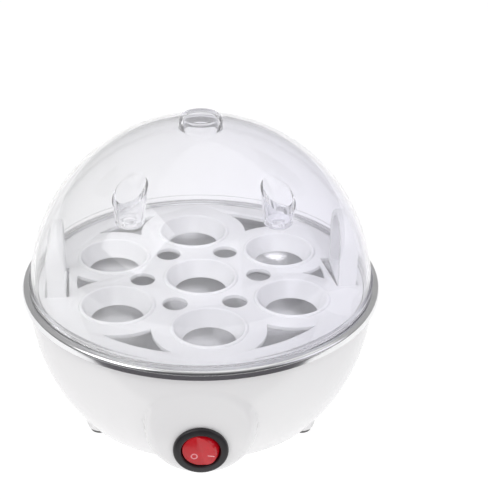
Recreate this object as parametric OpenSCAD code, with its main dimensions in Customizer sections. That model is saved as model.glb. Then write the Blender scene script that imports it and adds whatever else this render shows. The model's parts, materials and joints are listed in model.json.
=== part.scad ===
// Electric egg cooker: a moulded base with a steel water pan and its heater, a lift-out
// egg tray with seven seats, a clear domed lid and a round rocker switch.
// Millimetres, +Z up. The origin is on the table, below the middle of the base.
// -Y is the switch side and +Y the side where the mains lead goes in.

/* [Overall] */
// Outer diameter of the steel rim
rim_d = 164; // [156:1:200]
// Height of the rim's lower edge above the table
rim_z = 62; // [58:1:76]

/* [Shell] */
// Wall of the moulded shell
shell_wall = 2.5; // [2:0.1:3.2]
// Radius of the curve of the shell's side
side_r = 87; // [84:1:110]
// How far the shell's top stands inside the steel rim
shell_inset = 3; // [2.5:0.1:4]
// Rounding where the side meets the bottom
bottom_round = 4; // [3:0.5:5]
// Height of the shell's bottom edge above the table
shell_z = 5; // [4:0.5:7]
// Radius of the bulge that carries the switch
bulge_r = 24.2; // [20:0.1:28]
// How far the bulge's middle stands above the switch's
bulge_rise = 9; // [6:0.5:12]
// Height of the screw posts' tops
post_top = 22; // [18:1:26]

/* [Pan] */
// Thickness of the steel sheet
sheet = 0.8; // [0.5:0.1:1.2]
// Width of the rim from its outer edge to the step that holds the tray
rim_width = 7; // [6.4:0.1:9]
// Height of the rim's straight skirt
rim_skirt = 2; // [1:0.5:4]
// Rounding of the rim's outer edge
rim_round = 2; // [1.4:0.1:3]
// Depth of the step
step_depth = 2.6; // [2:0.1:4]
// Width of the ledge that the tray rests on
ledge_width = 4.5; // [3:0.5:7]
// Depth of the water pan below the ledge
pan_depth = 21.4; // [21:0.1:26]
// Rounding inside the pan, between its wall and its floor
pan_round = 20; // [8:0.5:20]

/* [Egg tray] */
// Thickness of the tray's plate
tray_t = 1.7; // [1.2:0.1:2.2]
// Turn of the tray about the upright axis, in degrees
tray_turn = 4.64; // [0:0.01:30]
// Radius of a seat's mouth
seat_mouth_r = 15.4; // [12.5:0.1:16.5]
// Radius of the hole at the bottom of a seat
seat_hole_r = 11.8; // [10:0.1:12]
// Depth of a seat
seat_depth = 7; // [5:0.5:9]
// How far the circle of seats stands inside the tray's edge
seat_inset = 29.3; // [26:0.1:31]
// Radius of the small steam holes
steam_hole_r = 5.7; // [4:0.1:6.5]
// Height of a handle above the plate
handle_h = 31; // [24:1:33]
// Width of a handle
handle_w = 27; // [24:1:32]
// Thickness of a handle's strap
strap_t = 3; // [2:0.1:4]

/* [Lid] */
// Wall of the clear dome
lid_wall = 2; // [1.5:0.1:2.6]
// How far the dome stands inside the rim
lid_inset = 3.7; // [3.4:0.1:4.2]
// Radius of the knob
knob_r = 9.5; // [8:0.1:13]
// Height of the knob above the dome
knob_h = 4.7; // [4:0.1:12]
// Radius of a steam pocket at its upper end
pocket_r = 7.5; // [6.5:0.1:9]
// Radius of a steam pocket at its floor
pocket_foot_r = 4.9; // [4:0.1:6]
// Radius of the vent in a pocket's floor
vent_r = 2.7; // [2:0.1:3.5]

/* [Switch] */
// Diameter of the switch's bezel
bezel_d = 24; // [22:0.5:26]
// Height of the switch's middle above the table
switch_z = 23; // [21:0.5:26]
// How far the switch's seat stands inside the shell's top edge
switch_inset = 3; // [2.5:0.1:4]
// Tilt of the switch's face towards the table, in degrees
switch_tilt = 4; // [0:1:6]
// Roll of the switch about its own axis, in degrees
switch_roll = 13; // [0:1:20]
// Half of the rocker's travel, in degrees
rocker_half = 11; // [9:0.5:11]
// Half of the contact lever's travel, in degrees
lever_half = 8; // [6:0.5:8]

/* [Heater] */
// Outer radius of the heater's mica rings
mica_r = 40; // [36:1:41]
// Radius of the circle of clamp studs
stud_circle_r = 45; // [45:0.5:47]
// Number of legs of the heating ribbon
ribbon_legs = 24; // [16:4:28]

/* [Wiring] */
// Outside radius of a lead
lead_r = 1.2; // [0.9:0.1:1.3]
// Bore radius of the cord gland
gland_bore_r = 3.3; // [2.8:0.1:4.1]
// Height of the cord gland above the table
gland_z = 20; // [18:0.5:24]

/* [Hidden] */

$fn = 96;
eps = 0.01;

// Clearances
tray_gap = 0.3;    // below the tray, and below the lid
plate_gap = 0.2;   // round the base plate
fit_gap = 0.05;    // round a pin, a screw or a pad in its hole
bezel_gap = 0.15;  // round the switch in its panel

// Colours
white = [0.93, 0.93, 0.92];
steel = [0.75, 0.76, 0.78];
zinc = [0.68, 0.68, 0.66];
brass_tone = [0.8, 0.66, 0.33];
black = [0.06, 0.06, 0.07];
red = [0.75, 0.02, 0.03];
mica_tone = [0.72, 0.66, 0.52];
ceramic_tone = [0.9, 0.88, 0.82];

// Rim and pan
rim_r = rim_d / 2;
rim_top = rim_z + rim_skirt + rim_round;
step_r = rim_r - rim_width;
ledge_top = rim_top - step_depth;
pan_r = step_r - ledge_width;
floor_top = ledge_top - pan_depth;
under = floor_top - sheet;

// Shell
shell_r = rim_r - shell_inset;
shell_top = rim_top - sheet;
widest_drop = 2;
side_cr = shell_r - side_r;
side_cz = rim_z - widest_drop;
function shell_out(z) = side_cr + sqrt(pow(side_r, 2) - pow(side_cz - z, 2));
edge_z = shell_z + bottom_round;
edge_r = side_cr + sqrt(pow(side_r - bottom_round, 2) - pow(side_cz - edge_z, 2));
lip_w = 3;
lip_r = edge_r - lip_w;
plate_t = 2.5;
plate_top = shell_z + plate_t;
ledge_t = 2;
inside_z = plate_top + ledge_t;
bulge_round = 4;
bulge_depth = 30;

// Feet
foot_angles = [90, 210, 330];
foot_circle_r = edge_r - 3.5;
foot_r = 5.5;
foot_top_r = 8.5;
foot_top = 12;
foot_z = 1.5;
pad_r = 4.5;
pad_top = 2.2;

// Cover posts and screws
post_angles = [60, 180, 300];
post_circle_r = lip_r - 8;
post_r = 3.6;
plate_boss_r = 5;
plate_boss_top = 10;
screw_r = 1.5;
screw_head_r = 2.8;
screw_head_h = 2;

// Switch: its frame has z out of the face and y along the rocker's hinge
bezel_r = bezel_d / 2;
bezel_h = 2;
switch_y = switch_inset - shell_r;
panel_t = 2.8;
seat_edge = 0.2;
body_r = bezel_r - 2;
body_depth = 16;
cavity_r = body_r - 1.4;
cavity_floor = -14;
rocker_r = cavity_r - 0.4;
rocker_z = -1;
pin_r = 1.2;
lever_z = -10;
lever_t = 0.8;
tab_tip = -24;
tab_t = 0.8;
contact_x = -4.3;
lamp_tab_x = 5.3;
plunger_reach = 7;
plunger_r = 1.2;
stem_r = 2.2;
stem_end = 4.6;
sleeve_end = -27;
module at_switch() {
    translate([0, switch_y, switch_z]) rotate([90 + switch_tilt, 0, 0])
        rotate([0, 0, switch_roll]) children();
}
// A point of the switch's frame in the part's frame
function switch_point(x, z) = [
    x * cos(switch_roll),
    switch_y - x * sin(switch_roll) * sin(switch_tilt) - z * cos(switch_tilt),
    switch_z + x * sin(switch_roll) * cos(switch_tilt) - z * sin(switch_tilt)];

// Heater stack, from the pan's underside down
mica_t = 0.6;
ribbon_t = 0.4;
clamp_t = 1.2;
mica_in_r = 18;
ribbon_z = under - mica_t - ribbon_t;
clamp_z = ribbon_z - mica_t - clamp_t;
clamp_in_r = 16;
clamp_angles = [0, 120, 240];
stud_r = 2;
strap_t2 = 1.2;
strap_z = clamp_z - strap_t2;
washer_t = 0.8;
nut_h = 3.2;
nut_af = 7;
nut_z = strap_z - washer_t - nut_h;
tag_t = 0.8;
earth_nut_z = nut_z - tag_t - nut_h;
heater_tab_angles = [165, 195];
heater_tab_r = 38;
heater_tab_tip = under - 15.2;

// Brackets that hold the pan down
bracket_w = 10;
bracket_leg_r = stud_circle_r - 5.6;
lug_z = 24;
lug_t = 4;
lug_in_r = stud_circle_r + 1;
bracket_screw_r = lug_in_r + 4;

// Thermostat
cap_r = 8;
cap_h = 3.2;
ear_x = 12;
ear_z = under - 3;
ear_t = 0.8;
small_stud_r = 1.5;
small_nut_h = 2.4;
small_nut_af = 5.5;
body_bottom = under - 12.2;
stat_tab_y = 4;
stat_tab_tip = under - 21.2;
tab_w = 6.3;
small_tab_w = 4.8;

// Thermal fuse
fuse_y = -28;
fuse_z = clamp_z - 3.6;
fuse_r = 2;
fuse_half = 5.5;
fuse_wire_half = 15;
sleeve_r = 2.8;
crimp_len = 4;

// Terminal block
block_w = 30;
block_d = 12;
block_h = 11;
barrel_out = 1;
block_y = foot_circle_r - foot_top_r - 1 - barrel_out - block_d / 2;
block_z = plate_top;
barrel_x = [-10, 0, 10];
barrel_r = 2.1;
barrel_z = block_z + 5.5;
block_front = block_y - block_d / 2 - barrel_out;

// Cord gland
gland_y = shell_out(gland_z) + 1.2;
gland_hole_r = gland_bore_r + 1.7;
gland_flange_r = gland_hole_r + 2.5;
gland_flange_t = 2.5;
gland_len = 12;
gland_snap = 1.3;
gland_panel_t = 3;
gland_collar = 10;

// Tray
tray_r = step_r - 0.4;
tray_top = ledge_top + tray_gap + tray_t;
seat_circle_r = tray_r - seat_inset;
seat_angles = [30, 90, 150, 210, 270, 330];
seat_lip_r = 0.9;
seat_wall = 1.6;
handle_in_r = tray_r - 12.6;
handle_out_r = tray_r - 4.6;

// Lid
lid_r = rim_r - lid_inset;
lid_in_r = lid_r - lid_wall;
lid_cz = rim_top - 3;
lid_bottom = rim_top + tray_gap;
lid_ring_h = 2.7;
knob_top = lid_cz + lid_r + knob_h;
pocket_places = [[-30.2, -33], [33, -33]];
pocket_drop = 15.3;
pocket_floor = lid_cz + sqrt(pow(lid_r, 2) - pow(norm(pocket_places[0]), 2)) - pocket_drop;
pocket_h = 22;
pocket_t = 1.2;

// Points along a smooth curve through the given ones, k steps for each stretch
function between(a, b, c, d, t) = 0.5 * ((2 * b) + (c - a) * t
    + (2 * a - 5 * b + 4 * c - d) * t * t + (3 * b - a - 3 * c + d) * t * t * t);
function smooth(p, k) = [
    for (i = [0:len(p) - 2]) for (j = [0:k - 1])
        between(i > 0 ? p[i - 1] : 2 * p[0] - p[1], p[i], p[i + 1],
            i < len(p) - 2 ? p[i + 2] : 2 * p[i + 1] - p[i], j / k),
    p[len(p) - 1]];
function along(q, i) = let (d = q[min(i + 1, len(q) - 1)] - q[max(i - 1, 0)]) d / norm(d);

// A closed tube along the points q; ref is a direction that q never runs along
module tube(q, r, ref, sides = 8) {
    rings = len(q);
    points = [for (i = [0:rings - 1])
        let (t = along(q, i), c = cross(ref, t), u = c / norm(c), v = cross(t, u))
        for (s = [0:sides - 1])
            q[i] + r * (cos(360 * s / sides) * u + sin(360 * s / sides) * v)];
    start = [for (s = [0:sides - 1]) s];
    end = [for (s = [sides - 1:-1:0]) (rings - 1) * sides + s];
    sides_of = [for (i = [0:rings - 2]) for (s = [0:sides - 1])
        let (n = (s + 1) % sides)
        [i * sides + s, (i + 1) * sides + s, (i + 1) * sides + n, i * sides + n]];
    polyhedron(points, concat([start, end], sides_of), convexity = 6);
}

// Copies round the upright axis, each turned to its own angle and moved out by r
module around(angles, r) {
    for (a = angles) rotate([0, 0, a]) translate([r, 0, 0]) children();
}
module disc(r, z, h) { translate([0, 0, z]) cylinder(r = r, h = h); }
module ring(r_out, r_in, z, h) {
    difference() {
        disc(r_out, z, h);
        disc(r_in, z - 1, h + 2);
    }
}
module block(x0, x1, y0, y1, z0, z1) {
    translate([x0, y0, z0]) cube([x1 - x0, y1 - y0, z1 - z0]);
}
module nut(af, hole_r, z, h) {
    difference() {
        translate([0, 0, z]) cylinder(d = af / cos(30), h = h, $fn = 6);
        disc(hole_r, z - 1, h + 2);
    }
}
// A flat blade along z, from its tip up to its root
module tab(w, z0, z1) {
    block(-tab_t / 2, tab_t / 2, -w / 2, w / 2, z0, z1);
}
// The insulated sleeve of a push-on connector, round a blade whose tip is at z0
module sleeve(w, z0) {
    difference() {
        union() {
            block(-1.7, 1.7, -w / 2 + 0.6, w / 2 - 0.6, z0 - 3, z0 + 7);
            for (s = [-1, 1]) translate([0, s * (w / 2 - 0.6), z0 - 3])
                cylinder(r = 1.7, h = 10);
        }
        block(-tab_t / 2, tab_t / 2, -w / 2, w / 2, z0, z0 + 8);
    }
}

// ---- lid ----
module lid_dome() {
    color([0.85, 0.9, 0.95, 0.35]) difference() {
        union() {
            intersection() {
                translate([0, 0, lid_cz]) sphere(r = lid_r, $fn = 128);
                disc(rim_r, lid_bottom, 200);
            }
            disc(lid_r + 0.7, lid_bottom, lid_ring_h);
            disc(knob_r, lid_cz + lid_r - 3, knob_h + 3 - 1.5);
            disc(knob_r - 1.5, lid_cz + lid_r, knob_h);
            rotate_extrude() translate([knob_r - 1.5, knob_top - 1.5]) circle(r = 1.5);
        }
        difference() {
            union() {
                translate([0, 0, lid_cz]) sphere(r = lid_in_r, $fn = 128);
                disc(knob_r - lid_wall, lid_cz + lid_in_r - 4, knob_h + 4);
            }
            lid_pockets(pocket_foot_r + pocket_t, pocket_r + pocket_t, pocket_floor - lid_wall,
                pocket_h + lid_wall);
        }
        lid_pockets(pocket_foot_r, pocket_r, pocket_floor, pocket_h);
        lid_pockets(vent_r, vent_r, pocket_floor - lid_wall - 1, lid_wall + 2);
        disc(rim_r, 0, lid_bottom);
    }
}
module lid_pockets(foot, top, z, h) {
    for (p = pocket_places) translate([p[0], p[1], z]) cylinder(r1 = foot, r2 = top, h = h);
}

// ---- tray ----
// A hole with three curved sides, between two seats and the circle outer_r
module corner_hole(keep_r, outer_r) {
    difference() {
        intersection() {
            circle(r = outer_r);
            polygon([[42, 0], [80, -32], [80, 32]]);
        }
        for (a = [-30, 30]) rotate(a) translate([seat_circle_r, 0]) circle(r = keep_r);
    }
}
module egg_tray() {
    color(white) rotate([0, 0, tray_turn]) {
        translate([0, 0, tray_top - tray_t]) linear_extrude(tray_t) difference() {
            circle(r = tray_r);
            circle(r = seat_mouth_r + 0.8);
            for (a = seat_angles) rotate(a) translate([seat_circle_r, 0])
                circle(r = seat_mouth_r + 0.8);
            for (a = [0:60:300]) rotate(a) translate([seat_circle_r - 18.5, 0])
                circle(r = steam_hole_r);
            for (a = [60, 120, 240, 300]) rotate(a)
                corner_hole(seat_mouth_r + 9.8, tray_r - 8.6);
            for (a = [0, 180]) rotate(a) {
                corner_hole(seat_mouth_r + 8.4, handle_in_r - 5);
                translate([handle_out_r + 0.3, -handle_w / 2]) square([1, handle_w]);
            }
            rotate(180) translate([handle_in_r - 1.5, -handle_w / 2]) square([1.3, handle_w]);
            polygon([[handle_in_r - 0.2, -handle_w / 2], [handle_in_r - 0.2, handle_w / 2],
                [handle_in_r - 4.4, handle_w / 2], [handle_in_r - 0.7, -handle_w / 2]]);
        }
        seat();
        around(seat_angles, seat_circle_r) seat();
        for (a = [0, 180]) rotate([0, 0, a]) handle();
    }
}
module seat() {
    rotate_extrude() translate([0, tray_top]) {
        polygon([[seat_mouth_r, 0], [seat_mouth_r + seat_wall, 0],
            [seat_mouth_r + seat_wall, -tray_t], [seat_hole_r + seat_wall, -seat_depth],
            [seat_hole_r, -seat_depth]]);
        translate([seat_mouth_r + seat_lip_r, 0]) circle(r = seat_lip_r);
    }
}
// An upright strap bent to a round-topped arch, cut to the dome's inside
module handle() {
    half = handle_w / 2;
    spring_z = tray_top + handle_h - half;
    intersection() {
        difference() {
            union() {
                block(handle_in_r, handle_out_r, -half, half, tray_top - tray_t, spring_z);
                translate([handle_in_r, 0, spring_z]) rotate([0, 90, 0])
                    cylinder(r = half, h = handle_out_r - handle_in_r);
            }
            block(handle_in_r - 1, handle_out_r + 1, strap_t - half, half - strap_t,
                tray_top, spring_z);
            translate([handle_in_r - 1, 0, spring_z]) rotate([0, 90, 0])
                cylinder(r = half - strap_t, h = handle_out_r - handle_in_r + 2);
        }
        translate([0, 0, lid_cz]) sphere(r = lid_in_r - 2.5, $fn = 128);
    }
}

// ---- pan ----
module heating_pan() {
    color(steel) rotate_extrude() {
        translate([rim_r - sheet, rim_z]) square([sheet, rim_skirt]);
        intersection() {
            translate([rim_r - rim_round, rim_top - rim_round]) difference() {
                circle(r = rim_round);
                circle(r = rim_round - sheet);
            }
            translate([rim_r - rim_round, rim_top - rim_round])
                square([rim_round + 1, rim_round + 1]);
        }
        translate([step_r, rim_top - sheet]) square([rim_r - rim_round - step_r, sheet]);
        translate([step_r, ledge_top - sheet]) square([sheet, step_depth + sheet]);
        translate([pan_r, ledge_top - sheet]) square([ledge_width + sheet, sheet]);
        translate([pan_r, floor_top + pan_round])
            square([sheet, pan_depth - pan_round]);
        intersection() {
            translate([pan_r - pan_round, floor_top + pan_round]) difference() {
                circle(r = pan_round + sheet);
                circle(r = pan_round);
            }
            translate([pan_r - pan_round, under - 1])
                square([pan_round + 2, pan_round + sheet + 1]);
        }
        translate([0, under]) square([pan_r - pan_round, sheet]);
    }
}

// ---- base ----
module bowl_outline(less) {
    intersection() {
        translate([side_cr, side_cz]) circle(r = side_r - less, $fn = 200);
        translate([0, 0]) square([side_r + rim_r, shell_top]);
    }
}
module bowl_solid() {
    rotate_extrude() {
        intersection() {
            bowl_outline(0);
            translate([0, edge_z]) square([rim_r, shell_top]);
        }
        intersection() {
            translate([edge_r, edge_z]) circle(r = bottom_round);
            translate([0, shell_z]) square([rim_r, bottom_round + eps]);
        }
        translate([0, shell_z]) square([edge_r, bottom_round + eps]);
    }
}
module bowl_space() {
    rotate_extrude() intersection() {
        bowl_outline(shell_wall);
        translate([0, inside_z]) square([rim_r, shell_top]);
    }
    disc(lip_r - 2, shell_z - 1, inside_z - shell_z + 1 + eps);
    disc(lip_r, shell_z - 1, plate_t + 1);
}
// A round boss along the switch's axis with a rounded front edge
module bulge_solid(inset = 0) {
    r = bulge_r - inset;
    translate([0, switch_y, switch_z]) rotate([90 + switch_tilt, 0, 0])
        translate([0, bulge_rise, -bulge_depth]) rotate_extrude() {
            square([bulge_r - bulge_round, bulge_depth - inset]);
            square([r, bulge_depth - bulge_round]);
            translate([bulge_r - bulge_round, bulge_depth - bulge_round]) intersection() {
                circle(r = bulge_round - inset);
                square(bulge_round);
            }
        }
}
module gland_axis() {
    translate([0, gland_y, gland_z]) rotate([-90, 0, 0]) children();
}
module base_shell() {
    color(white) difference() {
        union() {
            difference() {
                union() {
                    bowl_solid();
                    bulge_solid();
                    at_switch() disc(bezel_r + seat_edge, -6, 6);
                }
                bowl_space();
                bulge_solid(shell_wall);
                at_switch() disc(bezel_r, -body_depth, body_depth - panel_t);
            }
            gland_axis() disc(gland_flange_r + 1, -gland_collar, gland_collar);
            intersection() {
                bowl_solid();
                shell_posts();
            }
            around(foot_angles, foot_circle_r) translate([0, 0, foot_z])
                cylinder(r1 = foot_r, r2 = foot_top_r, h = foot_top - foot_z);
        }
        at_switch() {
            disc(bezel_r + seat_edge, 0, 20);
            disc(body_r + bezel_gap, -6, 7);
        }
        gland_axis() {
            disc(gland_flange_r + 1, 0, 20);
            disc(gland_hole_r + fit_gap, -gland_panel_t - 1, gland_panel_t + 2);
            disc(gland_hole_r + gland_snap + 0.5, -20, 20 - gland_panel_t);
        }
        around(post_angles, post_circle_r) disc(screw_r, plate_boss_top - 1, 10);
        around(clamp_angles, bracket_screw_r) disc(screw_r, lug_z - 1, lug_t);
        around(foot_angles, foot_circle_r)
            disc(pad_r + fit_gap, foot_z - 1, pad_top - foot_z + 1);
    }
}
// Screw posts with their webs, and the lugs that the pan's brackets pull against
module shell_posts() {
    around(post_angles, post_circle_r) {
        disc(post_r, plate_boss_top, post_top - plate_boss_top);
        block(2, 30, -1, 1, plate_boss_top + 2, post_top - 2);
    }
    around(clamp_angles, lug_in_r)
        block(0, 40, -bracket_w / 2, bracket_w / 2, lug_z, lug_z + lug_t);
}
module base_plate() {
    vent_rows = [-3:3];
    color(white * 0.97) difference() {
        union() {
            disc(lip_r - plate_gap, shell_z, plate_t);
            around(post_angles, post_circle_r)
                disc(plate_boss_r, shell_z, plate_boss_top - shell_z);
        }
        around(post_angles, post_circle_r) {
            disc(screw_head_r + 0.8, shell_z - 1, 4);
            disc(screw_r + plate_gap, shell_z, 10);
        }
        around(foot_angles, foot_circle_r)
            disc(foot_top_r + plate_gap, shell_z - 1, 10);
        for (i = vent_rows) translate([i * 6, 0, 0])
            block(-1.25, 1.25, -14 + abs(i), 14 - abs(i), shell_z - 1, plate_top + 1);
    }
}
module cover_screws() {
    color(zinc) around(post_angles, post_circle_r)
        screw(shell_z + 3, plate_boss_top - shell_z - 3 + 8);
}
// A pan-head screw driven upwards: its head hangs below z
module screw(z, length) {
    difference() {
        union() {
            disc(screw_head_r, z - screw_head_h, screw_head_h);
            disc(screw_r - fit_gap, z - eps, length + eps);
        }
        for (a = [0, 90]) rotate([0, 0, a])
            block(-1.6, 1.6, -0.35, 0.35, z - screw_head_h - 1, z - 1);
    }
}
module feet_pads() {
    color(black) around(foot_angles, foot_circle_r) disc(pad_r, 0, pad_top);
}
module cord_gland() {
    color(black) gland_axis() difference() {
        union() {
            disc(gland_flange_r, 0, gland_flange_t);
            disc(gland_hole_r, gland_flange_t - gland_len, gland_len);
            difference() {
                disc(gland_hole_r + gland_snap, -gland_panel_t - 3, 3);
                for (a = [45, 135]) rotate([0, 0, a])
                    block(-20, 20, -1.2, 1.2, -gland_panel_t - 4, -gland_panel_t + 1);
            }
        }
        disc(gland_bore_r, -20, 40);
    }
}

// ---- terminal block ----
module block_axis(x) {
    translate([x, block_y, barrel_z]) rotate([-90, 0, 0]) children();
}
module terminal_block() {
    color(ceramic_tone) difference() {
        block(-block_w / 2, block_w / 2, block_y - block_d / 2, block_y + block_d / 2,
            block_z, block_z + block_h);
        for (x = barrel_x) {
            block_axis(x) disc(barrel_r + fit_gap, -20, 40);
            for (s = [-1, 1]) translate([x, block_y + 3.5 * s, 0])
                disc(screw_r + fit_gap, barrel_z, 20);
        }
        for (x = [-5, 5]) block(x - 0.6, x + 0.6, block_y - 20, block_y + 20,
            block_z + block_h - 3, block_z + block_h + 1);
    }
}
module block_barrels() {
    color(brass_tone) for (x = barrel_x) block_axis(x) difference() {
        disc(barrel_r, -block_d / 2 - barrel_out, block_d + 2 * barrel_out);
        disc(barrel_r - 0.7, 0, 20);
    }
}
module block_screws() {
    color(zinc) for (x = barrel_x, s = [-1, 1]) translate([x, block_y + 3.5 * s, 0])
        difference() {
            disc(screw_r, barrel_z + barrel_r, 3.2);
            block(-2, 2, -0.3, 0.3, barrel_z + barrel_r + 2.4, barrel_z + barrel_r + 4);
        }
}

// ---- switch ----
module switch_housing() {
    color(black) at_switch() difference() {
        union() {
            disc(bezel_r, 0, bezel_h - 0.8);
            disc(bezel_r - 0.8, 0, bezel_h);
            rotate_extrude() translate([bezel_r - 0.8, bezel_h - 0.8]) circle(r = 0.8);
            disc(body_r, -body_depth, body_depth);
            for (s = [-1, 1])
                block(s * (body_r + 0.3) - 0.9, s * (body_r + 0.3) + 0.9, -2, 2, -8,
                    -panel_t - 0.1);
        }
        disc(cavity_r, cavity_floor, 20);
        for (s = [-1, 1]) translate([0, s * (cavity_r - 0.5), rocker_z])
            rotate([-90 * s, 0, 0]) cylinder(r = pin_r + fit_gap, h = 1.4);
        for (x = [contact_x, 0, lamp_tab_x]) translate([x, 0, 0])
            tab(small_tab_w, -body_depth - 1, cavity_floor + 1);
    }
}
// Everything that tilts with the rocker, at its off position
module at_rocker() {
    at_switch() translate([0, 0, rocker_z]) rotate([0, -rocker_half, 0]) children();
}
module switch_rocker() {
    valley_z = 2.2;
    wing_z = valley_z + rocker_r * tan(rocker_half);
    color(red) at_rocker() difference() {
        union() {
            intersection() {
                sphere(r = rocker_r);
                rotate([90, 0, 0]) translate([0, 0, -rocker_r]) linear_extrude(2 * rocker_r)
                    polygon([[-rocker_r, -2.6], [rocker_r, -2.6], [rocker_r, wing_z],
                        [0, valley_z], [-rocker_r, wing_z]]);
            }
            rotate([90, 0, 0]) translate([0, 0, -cavity_r - 0.7])
                cylinder(r = pin_r, h = 2 * cavity_r + 1.4);
            disc(stem_r, -stem_end, 3);
        }
        disc(plunger_r + fit_gap, -stem_end - 1, stem_end);
    }
}
module rocker_plunger() {
    color(brass_tone) at_rocker() {
        translate([0, 0, -plunger_reach]) sphere(r = plunger_r);
        disc(plunger_r, -plunger_reach, plunger_reach - 3.4);
    }
}
module plunger_spring() {
    turns = 4;
    coil_r = 0.85;
    wire_r = 0.16;
    z0 = -3.4 + wire_r;
    z1 = -1 - wire_r;
    color(steel) at_rocker() tube([for (i = [0:turns * 12])
        [coil_r * cos(30 * i), coil_r * sin(30 * i), z0 + (z1 - z0) * i / (turns * 12)]],
        wire_r, [0, 0, 1], 6);
}
module contact_lever() {
    color(brass_tone) at_switch() translate([0, 0, lever_z]) rotate([0, lever_half, 0]) {
        block(-5, 5, -1.5, 1.5, -lever_t / 2, lever_t / 2);
        translate([contact_x, 0, 0]) disc(0.9, -lever_t / 2 - 0.5, 0.5 + eps);
    }
}
module switch_terminals() {
    color(brass_tone) at_switch() {
        translate([contact_x, 0, 0]) {
            tab(small_tab_w, tab_tip, -12.6);
            block(-1, 1, -1.5, 1.5, -12.6, -12.1);
            disc(0.9, -12.1, 0.3);
        }
        tab(small_tab_w, tab_tip, -11.5);
        rotate([90, 0, 0]) translate([0, 0, -1.5]) linear_extrude(3)
            polygon([[-0.4, -11.5 - eps], [0.4, -11.5 - eps], [0.12, -10.7],
                [-0.12, -10.7]]);
        translate([lamp_tab_x, 0, 0]) tab(small_tab_w, tab_tip, -12);
    }
}
module neon_lamp() {
    lamp_x = cavity_r - 2;
    color([1, 0.6, 0.35, 0.6]) at_switch() {
        translate([lamp_x, 0, -8]) rotate([90, 0, 0])
            cylinder(r = 1.3, h = 5, center = true);
        for (s = [-1, 1]) translate([lamp_x, s * 1.6, 0]) disc(0.3, -13.8, 5);
    }
}

// ---- heater ----
module mica_ring(z) {
    ring(mica_r, mica_in_r, z, mica_t);
}
module heater_mica_upper() {
    color(mica_tone) mica_ring(under - mica_t);
}
module heater_mica_lower() {
    color(mica_tone) difference() {
        mica_ring(ribbon_z - mica_t);
        around(heater_tab_angles, heater_tab_r) disc(1, 0, 100);
    }
}
// A flat ribbon folded to and fro round the ring, left open between its two ends
function polar(r, a) = [r * cos(a), r * sin(a)];
module heater_ribbon() {
    first = 195;
    pitch = 330 / (ribbon_legs - 1);
    width = 1.4;
    in_r = mica_in_r + 3;
    out_r = heater_tab_r;
    color(steel * 0.8) translate([0, 0, ribbon_z]) linear_extrude(ribbon_t) {
        for (i = [0:ribbon_legs - 1]) rotate(first + i * pitch)
            translate([in_r, -width / 2]) square([out_r - in_r, width]);
        for (i = [0:ribbon_legs - 2])
            let (r = i % 2 == 0 ? in_r + 0.1 : out_r - width - 0.1, a = first + i * pitch)
            polygon([polar(r, a), polar(r + width, a), polar(r + width, a + pitch),
                polar(r, a + pitch)]);
    }
}
module heater_clamp_plate() {
    color(zinc) difference() {
        union() {
            disc(mica_r + 2, clamp_z, clamp_t);
            around(clamp_angles, stud_circle_r) disc(4.5, clamp_z, clamp_t);
            around(clamp_angles, 0)
                block(mica_r, stud_circle_r, -4.5, 4.5, clamp_z, clamp_z + clamp_t);
        }
        disc(clamp_in_r, clamp_z - 1, clamp_t + 2);
        around(clamp_angles, stud_circle_r) disc(stud_r + fit_gap, 0, 100);
        around(heater_tab_angles, heater_tab_r) disc(3 + fit_gap, clamp_z - 1, clamp_t + 2);
    }
}
module clamp_studs() {
    color(zinc) {
        around([0, 240], stud_circle_r) disc(stud_r, nut_z - 1, under - nut_z + 1);
        around([120], stud_circle_r) disc(stud_r, earth_nut_z - 1, under - earth_nut_z + 1);
    }
}
module clamp_washers() {
    color(zinc) around(clamp_angles, stud_circle_r)
        ring(4, stud_r + fit_gap, strap_z - washer_t, washer_t);
}
module clamp_nuts() {
    color(zinc) {
        around(clamp_angles, stud_circle_r) nut(nut_af, stud_r + fit_gap, nut_z, nut_h);
        around([120], stud_circle_r) nut(nut_af, stud_r + fit_gap, earth_nut_z, nut_h);
    }
}
module heater_terminals() {
    color(brass_tone) around(heater_tab_angles, heater_tab_r) {
        disc(0.9, clamp_z - 5, ribbon_z - clamp_z + 5);
        tab(tab_w, heater_tab_tip, clamp_z - 5 + eps);
    }
}
module heater_insulators() {
    color(ceramic_tone) around(heater_tab_angles, heater_tab_r)
        ring(3, 0.9 + fit_gap, clamp_z - 4, clamp_t + 4);
}
module pan_brackets() {
    reach = bracket_screw_r + 4;
    half = bracket_w / 2;
    color(zinc) around(clamp_angles, 0) difference() {
        union() {
            block(bracket_leg_r, stud_circle_r + 4.5, -half, half, strap_z, clamp_z);
            block(bracket_leg_r, bracket_leg_r + strap_t2, -half, half,
                lug_z - strap_t2, clamp_z);
            block(bracket_leg_r, reach, -half, half, lug_z - strap_t2, lug_z);
        }
        translate([stud_circle_r, 0, 0]) disc(stud_r + fit_gap, strap_z - 1, 4);
        translate([bracket_screw_r, 0, 0])
            disc(screw_r + fit_gap, lug_z - strap_t2 - 1, strap_t2 + 2);
    }
}
module bracket_screws() {
    color(zinc) around(clamp_angles, bracket_screw_r)
        screw(lug_z - strap_t2, strap_t2 + lug_t - 1.2);
}

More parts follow.
